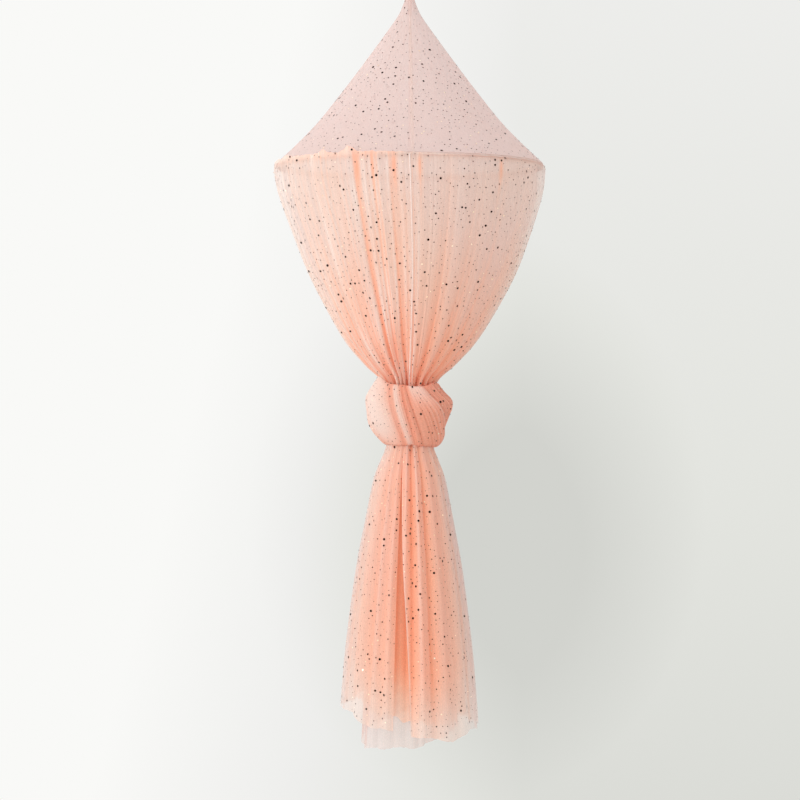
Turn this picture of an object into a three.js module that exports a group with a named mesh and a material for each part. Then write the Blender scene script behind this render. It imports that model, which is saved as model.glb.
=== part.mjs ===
// A bed crown canopy of sheer cloth on a hoop, hung from a ceiling hook and tied up in one overhand knot.
// Millimetres, +Z up. The origin is the point inside the bow of the hanging ring where the hook bears.
// The front faces -Y, and +X is on the right as a person sees it from the front.
// Angles run round the canopy from +X, anticlockwise as seen from above, so the front is at 270 degrees.

import * as THREE from "three";

// Cloth: tulle and its gathers as one skin, and the clearance between pieces that are sewn or tied together
const clothWall = 1.2;
const sewnGap = 0.4;

// Hanging ring: a wire D-ring with a straight bar for the tape
const ringWire = 3;
const ringInsideWidth = 16;
const ringInsideHeight = 10.5;
const ringCornerRadius = 3;

// Hanging tape: woven tape looped over the bar and sewn down inside the tip of the roof
const tapeWidth = 10;
const tapeThickness = 1.2;
const tapeDrop = 14;
const tapeLegLength = 45;

// Roof: four gores from the tip to the hoop, slightly hollow because the cloth hangs
const roofTipRadius = 8;
const roofDrop = 410;

// Hoop: four rods pushed into ferrules, inside a sewn sleeve
const hoopRadius = 314;
const rodDiameter = 7;
const rodEndGap = 1.5;
const ferruleWall = 0.8;
const ferruleLength = 44;
const sleeveEase = 1.5;
const sleeveWall = 1.2;
const sleeveSlit = 2;

// Curtain: gathered at the hoop, widest just below it and drawn in to the knot
const headFoldDepth = 2.4;
const headRise = 4;
const headTilt = 3.5;
const ruffleRise = 11;
const ruffleFlare = 4;
const bulgePastSleeve = 4.2;
const bulbHeight = 515;
const bulbLean = 7;
const neckRadius = 69;
const neckFoldDepth = 22;

// Knot: the cloth wrapped once round its own neck
const knotHeight = 160;
const knotHalfWidth = 100;
const knotHalfDepth = 84;
const knotWall = 2.4;
const knotPleatDepth = 9;
const knotCoreRadius = 48;
const knotLeftSwell = 17;
const knotRightSwell = 14;

// Tail: the loose end of the cloth below the knot
const tailNeckRadius = 58;
const tailLength = 645;
const tailRadius = 167;
const tailFoldDepth = 34;
const hemSway = 42;
const tailOpening = 40;

// Lining: the plain inner layer, which hangs lower at the front left
const liningInset = 1.5;
const liningFoldShare = 0.2;
const liningExtraLength = 72;

// Quarter pieces: the index counts quarters from +X, so the two front ones come last
const quarters = ["back_right", "back_left", "front_left", "front_right"];

// Counts
const goreCount = 4;
const goreColumns = 12;
const goreRows = 8;
const rodSides = 8;
const rodSteps = 18;
const ferruleSteps = 2;
const sleeveSides = 8;
const wireSides = 8;
const curtainFolds = 16;
const curtainRows = 9;
const tailFolds = 12;
const tailRows = 8;
const liningFolds = 6;
const pointsPerFold = 4;
const knotColumns = 48;
const knotRows = 12;

// Outlines, as shares of the sizes they follow: depth, then radius
const roofOutlineShares = [
  [0.06, 0.052],
  [0.12, 0.088],
  [0.24, 0.194],
  [0.48, 0.417],
  [0.72, 0.653],
  [0.84, 0.79],
  [0.93, 0.905],
];
const bulbOutlineShares = [
  [0.035, 1],
  [0.14, 0.97],
  [0.33, 0.87],
  [0.51, 0.76],
  [0.7, 0.6],
  [0.83, 0.468],
  [0.93, 0.322],
];
const tailOutlineShares = [
  [0.05, 0.42],
  [0.12, 0.52],
  [0.26, 0.63],
  [0.43, 0.755],
  [0.6, 0.85],
  [0.8, 0.94],
  [1, 1],
];
const knotOutlineShares = [
  [0.73, 0.485],
  [0.85, 0.37],
  [0.93, 0.2],
  [0.91, 0],
  [0.85, -0.17],
  [0.75, -0.32],
  [0.67, -0.44],
];
const ruffleTurnShares = [0.5625, 0.640625, 0.671875];
const knotGrooveShares = [
  [-0.1042, 1],
  [-0.0417, 0.95],
  [0.0417, 0.45],
  [0.125, 0.55],
  [0.2292, 0.5],
  [0.3542, 0.7],
  [0.4792, 0.6],
  [0.6042, 0.8],
  [0.7083, 0.5],
];
const knotGrooveReachShare = 0.014;
const knotTwistShare = 0.08;
const knotFanShare = 0.085;
const knotMouthDepthShare = 0.28;
const knotCrestHeightShare = 0.45;
const leftSwellShares = { down: 0.43, spread: 0.2 };
const rightSwellShares = { down: 0.4, spread: 0.08 };

// Places that follow from the sizes
const fullTurn = 2 * Math.PI;
const quarterTurn = fullTurn / goreCount;
const barHeight = -(ringInsideHeight + ringWire / 2);
const tipHeight = barHeight - tapeDrop;
const hoopHeight = tipHeight - roofDrop;
const rodRadius = rodDiameter / 2;
const ferruleRadius = rodRadius + sewnGap + ferruleWall;
const sleeveBore = ferruleRadius + sleeveEase;
const sleeveRadius = sleeveBore + sleeveWall;
const knotTop = hoopHeight - bulbHeight;
const knotMiddle = knotTop - knotHeight / 2;
const knotBottom = knotTop - knotHeight;
const bulbRadius = hoopRadius + sleeveRadius + bulgePastSleeve;
const frontAngle = 0.75 * fullTurn;
const leftAngle = 0.5 * fullTurn;
const hemLowAngle = -0.14 * fullTurn;
const liningLowAngle = 0.65 * fullTurn;
const knotSwellTurn = 0.11 * fullTurn;

// Materials
const cloth = (name, color) =>
  new THREE.MeshStandardMaterial({ name, color, roughness: 0.9, metalness: 0, side: THREE.DoubleSide });
const roofTulle = cloth("roof_tulle", 0xead1cc);
const curtainTulle = cloth("curtain_tulle", 0xf2c2b0);
const liningTulle = cloth("lining_tulle", 0xeed6ce);
const binding = cloth("binding", 0xdcb4a8);
const wovenTape = cloth("woven_tape", 0xe9d4cd);
const hoopPlastic = new THREE.MeshStandardMaterial({ color: 0xf1efea, roughness: 0.5, metalness: 0 });
const ferruleMetal = new THREE.MeshStandardMaterial({ color: 0xb9bcc0, roughness: 0.35, metalness: 1 });
const ringSteel = new THREE.MeshStandardMaterial({ color: 0xc9ccd0, roughness: 0.25, metalness: 1 });

const canopy = new THREE.Group();

// Adds one named piece to the canopy.
function add(name, geometry, material) {
  const mesh = new THREE.Mesh(geometry, material);
  mesh.name = name;
  canopy.add(mesh);
}

// A smooth step from 0 to 1.
const ease = (t) => THREE.MathUtils.smoothstep(t, 0, 1);

// A geometry from points and quads, each quad split into two triangles.
function fromQuads(points, quads) {
  const geometry = new THREE.BufferGeometry();
  geometry.setAttribute("position", new THREE.Float32BufferAttribute(points.flat(), 3));
  geometry.setIndex(quads.flatMap(([a, b, c, d]) => [a, b, c, a, c, d]));
  geometry.computeVertexNormals();
  return geometry;
}

// A closed skin between an outer and an inner face, each a function of the share round and the share down.
// A ring closes on itself, and a panel has two side edges.
function skin({ columns, rows, outer, inner, ring = false }) {
  const across = ring ? columns : columns + 1;
  const points = [];
  for (const face of [outer, inner])
    for (let row = 0; row <= rows; row++)
      for (let column = 0; column < across; column++) points.push(face(column / columns, row / rows));
  const faceSize = across * (rows + 1);
  const out = (column, row) => row * across + (column % across);
  const back = (column, row) => faceSize + out(column, row);
  const quads = [];
  for (let column = 0; column < columns; column++) {
    const next = column + 1;
    for (let row = 0; row < rows; row++) {
      quads.push([out(column, row), out(column, row + 1), out(next, row + 1), out(next, row)]);
      quads.push([back(column, row), back(next, row), back(next, row + 1), back(column, row + 1)]);
    }
    quads.push([out(column, 0), out(next, 0), back(next, 0), back(column, 0)]);
    quads.push([out(column, rows), back(column, rows), back(next, rows), out(next, rows)]);
  }
  if (!ring)
    for (let row = 0; row < rows; row++) {
      quads.push([out(0, row), back(0, row), back(0, row + 1), out(0, row + 1)]);
      quads.push([out(columns, row), out(columns, row + 1), back(columns, row + 1), back(columns, row)]);
    }
  return fromQuads(points, quads);
}

// A panel of hanging cloth between two angles. place(angle, down) gives its radius, its height and how far it
// leans to the right. Half of the sewing gap is taken off each side edge, and setBack(down) takes more off the
// second one.
function clothPanel({ from, to, columns, rows, place, setBack = () => 0 }) {
  const face = (inset) => (share, down) => {
    const angle = THREE.MathUtils.lerp(from, to, share);
    const { radius, height, lean = 0 } = place(angle, down);
    const edge = sewnGap / 2 / radius;
    const turned = THREE.MathUtils.lerp(from + edge, to - edge - setBack(down) / radius, share);
    const reach = radius - inset;
    return [reach * Math.cos(turned) + lean, reach * Math.sin(turned), height];
  };
  return skin({ columns, rows, outer: face(0), inner: face(clothWall) });
}

// How far a pleat is folded in at an angle, from 0 on a ridge to 1 in a valley. Neighbouring pleats differ.
function pleat(angle, folds, unevenness) {
  const valley = 0.5 - 0.5 * Math.cos(folds * angle);
  return valley * (1 - unevenness * (0.5 + 0.5 * Math.sin(3 * angle + 1)));
}

// A tube round a closed outline in the plane of X and Z.
function closedWire(outline, radius, sides) {
  const points = [];
  outline.forEach((centre, i) => {
    const before = outline[(i + outline.length - 1) % outline.length];
    const after = outline[(i + 1) % outline.length];
    const along = after.clone().sub(before).normalize();
    for (let side = 0; side < sides; side++) {
      const turn = (side / sides) * fullTurn;
      const off = radius * Math.cos(turn);
      points.push([centre.x + along.y * off, radius * Math.sin(turn), centre.y - along.x * off]);
    }
  });
  const at = (i, side) => (i % outline.length) * sides + (side % sides);
  const quads = [];
  for (let i = 0; i < outline.length; i++)
    for (let side = 0; side < sides; side++)
      quads.push([at(i, side), at(i, side + 1), at(i + 1, side + 1), at(i + 1, side)]);
  return fromQuads(points, quads);
}

// The hanging ring: a straight bar below, two round corners and a half-round bow above.
function hangingRing() {
  const half = (ringInsideWidth + ringWire) / 2;
  const bowCentre = ringWire / 2 - half;
  const corner = ringCornerRadius;
  const outline = new THREE.Path();
  outline.moveTo(corner - half, barHeight);
  outline.lineTo(half - corner, barHeight);
  outline.absarc(half - corner, barHeight + corner, corner, -quarterTurn, 0, false);
  outline.absarc(0, bowCentre, half, 0, fullTurn / 2, false);
  outline.absarc(corner - half, barHeight + corner, corner, fullTurn / 2, fullTurn * 0.75, false);
  const bowSteps = 8;
  const points = outline.getPoints(bowSteps);
  const distinct = points.filter((p, i) => i === 0 || p.distanceTo(points[i - 1]) > sewnGap / 2);
  if (distinct.at(-1).distanceTo(distinct[0]) < sewnGap / 2) distinct.pop();
  return closedWire(distinct, ringWire / 2, wireSides);
}

// The outline of the roof, from its tip to the upper outside of the sleeve: depth below the tip, then radius.
function roofOutline() {
  const seat = (sleeveRadius + sewnGap) * Math.SQRT1_2;
  const depth = roofDrop - seat;
  const radius = hoopRadius + seat + clothWall;
  const shared = roofOutlineShares.map(([down, out]) => new THREE.Vector2(down * depth, out * radius));
  return new THREE.SplineCurve([
    new THREE.Vector2(0, roofTipRadius),
    ...shared,
    new THREE.Vector2(depth, radius),
  ]);
}

// The radius at a depth of a cloth that follows an outline in straight rows.
function radiusAt(outline, rows, depth) {
  const points = Array.from({ length: rows + 1 }, (_, row) => outline.getPoint(row / rows));
  const below = points.findIndex(({ x }) => x > depth);
  const [from, to] = [points[below - 1], points[below]];
  return THREE.MathUtils.mapLinear(depth, from.x, to.x, from.y, to.y);
}

// The hanging tape: up one side inside the roof, over the bar and down the other side.
function hangingTape() {
  const outline = roofOutline();
  const middle = tapeThickness / 2;
  const bend = ringWire / 2 + sewnGap + middle;
  const squeeze = Math.sqrt((roofTipRadius - clothWall) ** 2 - (tapeWidth / 2) ** 2) - sewnGap - middle;
  const legSteps = 3;
  const bendSteps = 8;
  const reach = (depth) => {
    const radius = radiusAt(outline, goreRows, depth) - clothWall;
    return Math.sqrt(radius ** 2 - (tapeWidth / 2) ** 2) - 2 * sewnGap - middle;
  };
  const leg = [];
  for (let i = legSteps; i > 0; i--) {
    const depth = (i / legSteps) * tapeLegLength;
    leg.push([reach(depth), tipHeight - depth]);
  }
  leg.push([Math.min(squeeze, bend), tipHeight]);
  const over = [];
  for (let i = 0; i <= bendSteps; i++) {
    const turn = ((i / bendSteps) * fullTurn) / 2;
    over.push([bend * Math.cos(turn), barHeight + bend * Math.sin(turn)]);
  }
  const back = leg.map(([y, z]) => [-y, z]).reverse();
  const line = [...leg, ...over, ...back].map(([y, z]) => new THREE.Vector2(y, z));
  const side = (offset) =>
    line.map((p, i) => {
      const before = line[Math.max(i - 1, 0)];
      const after = line[Math.min(i + 1, line.length - 1)];
      const along = after.clone().sub(before).normalize();
      return new THREE.Vector2(p.x + along.y * offset, p.y - along.x * offset);
    });
  const shape = new THREE.Shape([...side(middle), ...side(-middle).reverse()]);
  const geometry = new THREE.ExtrudeGeometry(shape, { depth: tapeWidth, bevelEnabled: false });
  geometry.translate(0, 0, -tapeWidth / 2);
  geometry.rotateX(quarterTurn);
  geometry.rotateZ(quarterTurn);
  return geometry;
}

// One gore of the roof.
function roofGore(index) {
  const outline = roofOutline();
  return clothPanel({
    from: index * quarterTurn,
    to: (index + 1) * quarterTurn,
    columns: goreColumns,
    rows: goreRows,
    place: (angle, down) => {
      const { x: depth, y: radius } = outline.getPoint(down);
      return { radius, height: tipHeight - depth };
    },
  });
}

// An arc of the hoop's centreline between two angles.
class HoopArc extends THREE.Curve {
  constructor(from, to) {
    super();
    this.from = from;
    this.to = to;
  }

  getPoint(t, target = new THREE.Vector3()) {
    const angle = THREE.MathUtils.lerp(this.from, this.to, t);
    return target.set(hoopRadius * Math.cos(angle), hoopRadius * Math.sin(angle), hoopHeight);
  }
}

// A round section, solid or with a bore.
function roundSection(radius, bore = 0) {
  const section = new THREE.Shape().absarc(0, 0, radius, 0, fullTurn, false);
  if (bore > 0) section.holes.push(new THREE.Path().absarc(0, 0, bore, 0, fullTurn, true));
  return section;
}

// A rod of the hoop, a quarter of the way round. Its ends stop short of its neighbours' inside the ferrules.
function hoopRod(index) {
  const gap = rodEndGap / 2 / hoopRadius;
  const path = new HoopArc(index * quarterTurn + gap, (index + 1) * quarterTurn - gap);
  return new THREE.ExtrudeGeometry(roundSection(rodRadius), {
    steps: rodSteps,
    curveSegments: rodSides / 2,
    bevelEnabled: false,
    extrudePath: path,
  });
}

// A ferrule over the joint between two rods.
function hoopFerrule(index) {
  const half = ferruleLength / 2 / hoopRadius;
  const middle = index * quarterTurn;
  return new THREE.ExtrudeGeometry(roundSection(ferruleRadius, rodRadius + sewnGap), {
    steps: ferruleSteps,
    curveSegments: rodSides / 2,
    bevelEnabled: false,
    extrudePath: new HoopArc(middle - half, middle + half),
  });
}

// The sleeve sewn round the hoop, open along a slit on its underside.
function hoopSleeve() {
  const slitTurn = sleeveSlit / 2 / sleeveBore;
  const start = frontAngle + slitTurn;
  const end = frontAngle + fullTurn - slitTurn;
  const arc = (radius) =>
    Array.from({ length: sleeveSides + 1 }, (_, i) => {
      const turn = THREE.MathUtils.lerp(start, end, i / sleeveSides);
      return new THREE.Vector2(hoopRadius + radius * Math.cos(turn), radius * Math.sin(turn));
    });
  const outside = arc(sleeveRadius);
  const profile = [...outside, ...arc(sleeveBore).reverse(), outside[0].clone()];
  const geometry = new THREE.LatheGeometry(profile, goreCount * goreColumns);
  geometry.rotateX(quarterTurn);
  geometry.translate(0, 0, hoopHeight);
  return geometry;
}

// How much of a ruffle stands at an angle, from 0 between the ruffles to 1 on their tops.
function ruffleAt(angle) {
  const apart = ruffleTurnShares.map((place) => Math.abs(angle / fullTurn - place));
  return Math.max(0, 1 - Math.min(...apart) * curtainFolds * pointsPerFold);
}

// How far the head of the curtain stands above or below its usual height. It covers the sleeve on the left,
// with a few ruffles, and leaves it bare on the right.
const headLift = (angle) => ruffleRise * ruffleAt(angle) + headTilt * Math.cos(angle - leftAngle);

// The outline of the curtain from its head to the middle of the knot: depth below the hoop, then radius.
function curtainOutline() {
  const shared = bulbOutlineShares.map(
    ([down, out]) => new THREE.Vector2(down * bulbHeight, out * bulbRadius),
  );
  const headRadius = hoopRadius + sleeveRadius + sewnGap + clothWall + headFoldDepth;
  return new THREE.SplineCurve([
    new THREE.Vector2(-headRise, headRadius),
    ...shared,
    new THREE.Vector2(bulbHeight, neckRadius),
    new THREE.Vector2(bulbHeight + (knotHeight - sewnGap) / 2, knotCoreRadius),
  ]);
}

// How deep the curtain's pleats are, from its head to the knot.
const curtainFoldDepth = (down) => THREE.MathUtils.lerp(headFoldDepth, neckFoldDepth, down ** 1.5);

// How far the bulb leans to the right, most at half its height.
const leanAt = (depth) => bulbLean * Math.max(0, Math.sin((Math.PI * depth) / bulbHeight));

// One quarter of the curtain above the knot.
function curtainPanel(index) {
  const outline = curtainOutline();
  return clothPanel({
    from: index * quarterTurn,
    to: (index + 1) * quarterTurn,
    columns: (curtainFolds * pointsPerFold) / goreCount,
    rows: curtainRows,
    place: (angle, down) => {
      const { x: depth, y } = outline.getPoint(down);
      const head = Math.max(0, 1 - down * curtainRows);
      const fold = curtainFoldDepth(down) * pleat(angle, curtainFolds, 0.4);
      const radius = y - fold + ruffleFlare * ruffleAt(angle) * head;
      const lean = depth < bulbHeight ? leanAt(Math.max(depth, 0)) : 0;
      return { radius, height: hoopHeight - depth + headLift(angle) * head, lean };
    },
  });
}

// The outline of the tail from the middle of the knot to the hem: depth below the knot, then radius.
function tailOutline() {
  const shared = tailOutlineShares.map(
    ([down, out]) => new THREE.Vector2(down * tailLength, out * tailRadius),
  );
  return new THREE.SplineCurve([
    new THREE.Vector2(-(knotHeight - sewnGap) / 2, knotCoreRadius),
    new THREE.Vector2(0, tailNeckRadius),
    ...shared,
  ]);
}

// How deep the tail's folds are, from the middle of the knot to the hem.
const tailFoldDepthAt = (down) =>
  THREE.MathUtils.lerp(neckFoldDepth / 3, tailFoldDepth, down ** 2);

// One quarter of the tail below the knot. Its hem hangs lower on one side than on the other, and the two
// front edges part towards the hem.
function tailPanel(index) {
  const outline = tailOutline();
  const opens = quarters[index] === "front_left";
  return clothPanel({
    setBack: (down) => (opens ? tailOpening * Math.max(0, 1.5 * down - 0.5) : 0),
    from: index * quarterTurn,
    to: (index + 1) * quarterTurn,
    columns: (tailFolds * pointsPerFold) / goreCount,
    rows: tailRows,
    place: (angle, down) => {
      const { x: depth, y } = outline.getPoint(down);
      const radius = y - tailFoldDepthAt(down) * pleat(angle, tailFolds, 0.4);
      const sway = hemSway * Math.cos(angle - hemLowAngle) * down ** 3;
      return { radius, height: knotBottom - depth - sway };
    },
  });
}

// One quarter of the lining above the knot, from the inside of the sleeve down into the knot.
function upperLining(index) {
  const outline = curtainOutline();
  const headInside = hoopRadius - sleeveRadius - sewnGap;
  const headInset = outline.getPoint(0).y - headInside - headFoldDepth - clothWall;
  return clothPanel({
    from: index * quarterTurn,
    to: (index + 1) * quarterTurn,
    columns: (liningFolds * pointsPerFold) / goreCount,
    rows: curtainRows,
    place: (angle, down) => {
      const { x: depth, y } = outline.getPoint(down);
      const curtainFold = curtainFoldDepth(down);
      const inset = THREE.MathUtils.lerp(headInset, liningInset, ease(Math.min(1, 2 * down)));
      const fold = liningFoldShare * curtainFold * pleat(angle, liningFolds, 0);
      const radius = y - curtainFold - clothWall - inset - fold;
      const lean = depth < bulbHeight ? leanAt(Math.max(depth, 0)) : 0;
      return { radius, height: hoopHeight - Math.max(depth, 0), lean };
    },
  });
}

// One quarter of the lining below the knot. It is longer than the tail, most of all at the front left.
function lowerLining(index) {
  const outline = tailOutline();
  return clothPanel({
    from: index * quarterTurn,
    to: (index + 1) * quarterTurn,
    columns: (liningFolds * pointsPerFold) / goreCount,
    rows: tailRows,
    place: (angle, down) => {
      const { x: depth, y } = outline.getPoint(down);
      const tailFold = tailFoldDepthAt(down);
      const fold = liningFoldShare * tailFold * pleat(angle, liningFolds, 0);
      const radius = y - tailFold - clothWall - liningInset - fold;
      const extra = liningExtraLength * (0.5 + 0.5 * Math.cos(angle - liningLowAngle)) * down ** 3;
      return { radius, height: knotBottom - depth - extra };
    },
  });
}

// How far apart two angles are, the short way round.
const apartFrom = (angle, centre) => Math.abs(((angle - centre + 1.5 * fullTurn) % fullTurn) - fullTurn / 2);

// A smooth bump, 1 in the middle and gone at about twice its spread.
const bump = (distance, spread) => Math.exp(-((distance / spread) ** 2));

// The knot: a puffed wrap round the neck, open inside like a tyre. Its grooves run down and to the right and
// fan out on that side. It swells on the left and, more sharply, on the right.
function knotWrap() {
  const mouthDepth = knotMouthDepthShare * knotHeight;
  const mouth = (cloth, neck, end) => [
    [cloth + sewnGap, end * (knotHeight / 2 - mouthDepth)],
    [neck + 2 * sewnGap + knotWall, end * knotCrestHeightShare * knotHeight],
  ];
  const clothAbove = radiusAt(curtainOutline(), curtainRows, bulbHeight + mouthDepth);
  const clothBelow = radiusAt(tailOutline(), tailRows, -mouthDepth);
  const shared = knotOutlineShares.map(([out, up]) => [out * knotHalfWidth, up * knotHeight]);
  const points = [
    ...mouth(clothAbove, neckRadius, 1),
    ...shared,
    ...mouth(clothBelow, tailNeckRadius, -1).reverse(),
  ];
  const outline = new THREE.SplineCurve(points.map(([r, z]) => new THREE.Vector2(r, z)));
  const groove = (turn) =>
    Math.max(...knotGrooveShares.map(([place, depth]) => depth * bump(turn - place, knotGrooveReachShare)));
  const face = (inset) => (share, down) => {
    const turn = share - 0.25;
    const slide = (knotTwistShare + knotFanShare * Math.sin(turn * fullTurn)) * ease((down - 0.1) / 0.8);
    const angle = frontAngle + (turn + slide) * fullTurn;
    const { x: radius, y: height } = outline.getPoint(down);
    const along = outline.getTangent(down);
    const open = Math.sin(Math.PI * down) ** 2;
    const flat = THREE.MathUtils.lerp(1, knotHalfDepth / knotHalfWidth, open);
    const fold = knotPleatDepth * open * groove(turn);
    const swell = (size, centre, shares) =>
      size * bump(apartFrom(angle, centre), knotSwellTurn) * bump(down - shares.down, shares.spread);
    const left = swell(knotLeftSwell, leftAngle, leftSwellShares);
    const right = swell(knotRightSwell, 0, rightSwellShares);
    const reach = radius - fold + left + right + inset * along.y;
    return [
      reach * Math.cos(angle),
      reach * Math.sin(angle) * flat,
      knotMiddle + height - inset * along.x,
    ];
  };
  return skin({ columns: knotColumns, rows: knotRows, outer: face(0), inner: face(knotWall), ring: true });
}

// Hardware and tape
add("hanging_ring", hangingRing(), ringSteel);
add("hanging_tape", hangingTape(), wovenTape);

// The quarter pieces
quarters.forEach((side, index) => {
  add(`roof_gore_${side}`, roofGore(index), roofTulle);
  add(`hoop_rod_${side}`, hoopRod(index), hoopPlastic);
  add(`curtain_panel_${side}`, curtainPanel(index), curtainTulle);
  add(`tail_panel_${side}`, tailPanel(index), curtainTulle);
  add(`lining_upper_${side}`, upperLining(index), liningTulle);
  add(`lining_lower_${side}`, lowerLining(index), liningTulle);
});

// Ferrules, named for where they are
const ferrulePlaces = ["right", "back", "left", "front"];
ferrulePlaces.forEach((side, index) => add(`hoop_ferrule_${side}`, hoopFerrule(index), ferruleMetal));

add("hoop_sleeve", hoopSleeve(), binding);
add("knot_wrap", knotWrap(), curtainTulle);

export default canopy;
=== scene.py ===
"""A bed crown canopy of sheer cloth with foil dots, knotted up and hung in a plain studio.

Metres, +Z up. The origin is the point in the hanging ring where the ceiling hook bears. The front faces -Y,
and +X is on the right as seen from the front. Places round the canopy are in turns from the front,
anticlockwise as seen from above: the right is at 0.25, the back at 0.5 and the left at 0.75 or -0.25.
"""

from __future__ import annotations

import logging
import math
from collections.abc import Callable, Sequence
from dataclasses import dataclass
from enum import Enum

import bmesh
import bpy
import numpy as np
from mathutils import Matrix, Vector
from mathutils.kdtree import KDTree

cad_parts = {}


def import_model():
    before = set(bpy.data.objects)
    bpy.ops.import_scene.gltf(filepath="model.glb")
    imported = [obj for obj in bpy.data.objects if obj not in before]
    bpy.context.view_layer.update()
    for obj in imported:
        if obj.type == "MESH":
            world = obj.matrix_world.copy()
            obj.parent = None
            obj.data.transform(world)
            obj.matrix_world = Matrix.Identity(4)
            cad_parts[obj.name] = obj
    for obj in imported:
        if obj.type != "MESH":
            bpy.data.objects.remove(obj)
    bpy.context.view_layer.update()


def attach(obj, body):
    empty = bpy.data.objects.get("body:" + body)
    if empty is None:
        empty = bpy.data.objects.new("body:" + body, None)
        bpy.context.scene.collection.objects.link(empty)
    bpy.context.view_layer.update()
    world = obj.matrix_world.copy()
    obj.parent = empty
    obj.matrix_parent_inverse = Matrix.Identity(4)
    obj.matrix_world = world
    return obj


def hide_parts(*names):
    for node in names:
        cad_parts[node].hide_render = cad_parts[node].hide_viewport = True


Array = np.ndarray
Surface = Callable[[Array, Array], Array]  # from two shares of a cloth to its points
Shade = Callable[[Array, Array], Array]  # from two shares of a cloth to a share painted on it
Outline = Sequence[tuple[float, float]]
Dye = Sequence[tuple[float, str]]
Point = tuple[float, float, float]
Material = bpy.types.Material
Piece = bpy.types.Object
Socket = bpy.types.NodeSocket
Inputs = dict[str | int, object]
log = logging.getLogger("canopy")

MM = 0.001  # a millimetre in metres
HOOP_HEIGHT = -436 * MM  # the middle of the hoop's rods
HOOP_RADIUS = 314 * MM
SLEEVE_RADIUS = 7.4 * MM
TIP_HEIGHT = -26 * MM  # where the roof's cloth starts
KNOT_MIDDLE = -1031 * MM
KNOT_BOTTOM = -1111 * MM
QUARTERS = ("back_right", "back_left", "front_left", "front_right")


class Body(Enum):
    """The rigid bodies that the pieces ride on."""

    HANGER = "hanger"
    CANOPY = "canopy"


class Hold(Enum):
    """How a sheet of cloth is held."""

    STRETCHED = "stretched"
    GATHERED = "gathered"
    HUNG = "hung"


# Shared shapes of numbers


def ease(share: Array) -> Array:
    """Returns a smooth step from 0 to 1."""
    clipped = np.clip(share, 0.0, 1.0)
    return clipped * clipped * (3.0 - 2.0 * clipped)


def rising(share: Array, start: float, length: float) -> Array:
    """Returns a smooth step from 0 at a start to 1 a length further on."""
    return ease((share - start) / length)


def blend(first: Array, second: Array, share: Array) -> Array:
    """Returns the first value at share 0 and the second at share 1."""
    return first + (second - first) * share


def bump(distance: Array, spread: float) -> Array:
    """Returns a smooth bump that is 1 in the middle and gone at twice its spread."""
    return np.exp(-((distance / spread) ** 2))


def apart(turn: Array, place: float) -> Array:
    """Returns how far two places round the canopy are apart, the short way round, in turns."""
    return np.abs(np.mod(turn - place + 0.5, 1.0) - 0.5)


def evenly(amount: float) -> Shade:
    """Returns a shade that is the same all over a cloth."""
    return lambda across, up: amount + 0 * across


def ripple(turn: Array, waves: Sequence[int], seed: int) -> Array:
    """Returns a smooth uneven value round the canopy, between about -1 and 1.

    Args:
        turn: Places round the canopy.
        waves: How many waves each of the summed sines has in one turn.
        seed: Sets the phases.

    Returns:
        The summed sines.
    """
    phases = np.random.RandomState(seed).rand(len(waves))
    total = np.zeros_like(turn)
    for count, phase in zip(waves, phases):
        total = total + np.sin(2 * math.pi * (count * turn + phase))
    return total / math.sqrt(len(waves))


def place(turn: Array, radius: Array, height: Array, shift: Array | float = 0.0) -> Array:
    """Returns points from turns, radii and heights.

    Args:
        turn: Places round the canopy.
        radius: Distances from its middle line.
        height: Heights.
        shift: How far to the right the middle line is.

    Returns:
        An array with a point in each row.
    """
    angle = 2 * math.pi * turn
    return np.stack([radius * np.sin(angle) + shift, -radius * np.cos(angle), height], axis=-1)


@dataclass(frozen=True)
class Profile:
    """A smooth outline through given stations.

    Attributes:
        stations: Pairs of radius and height, from the top down.
    """

    stations: Outline

    def at(self, share: Array) -> tuple[Array, Array]:
        """Returns the radius and the height at a share of the way down."""
        points = np.array(self.stations, dtype=float)
        last = len(points) - 1
        along = np.clip(share, 0.0, 1.0) * last
        start = np.minimum(along.astype(int), last - 1)
        part = (along - start)[..., None]
        before = points[np.where(start == 0, 0, start - 1)]
        here, after = points[start], points[start + 1]
        beyond = points[np.minimum(start + 2, last)]
        leave, arrive = (after - before) / 2, (beyond - here) / 2
        bent = (2 * here - 2 * after + leave + arrive) * part**3
        bent = bent + (3 * after - 3 * here - 2 * leave - arrive) * part**2 + leave * part + here
        return bent[..., 0], bent[..., 1]


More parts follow.
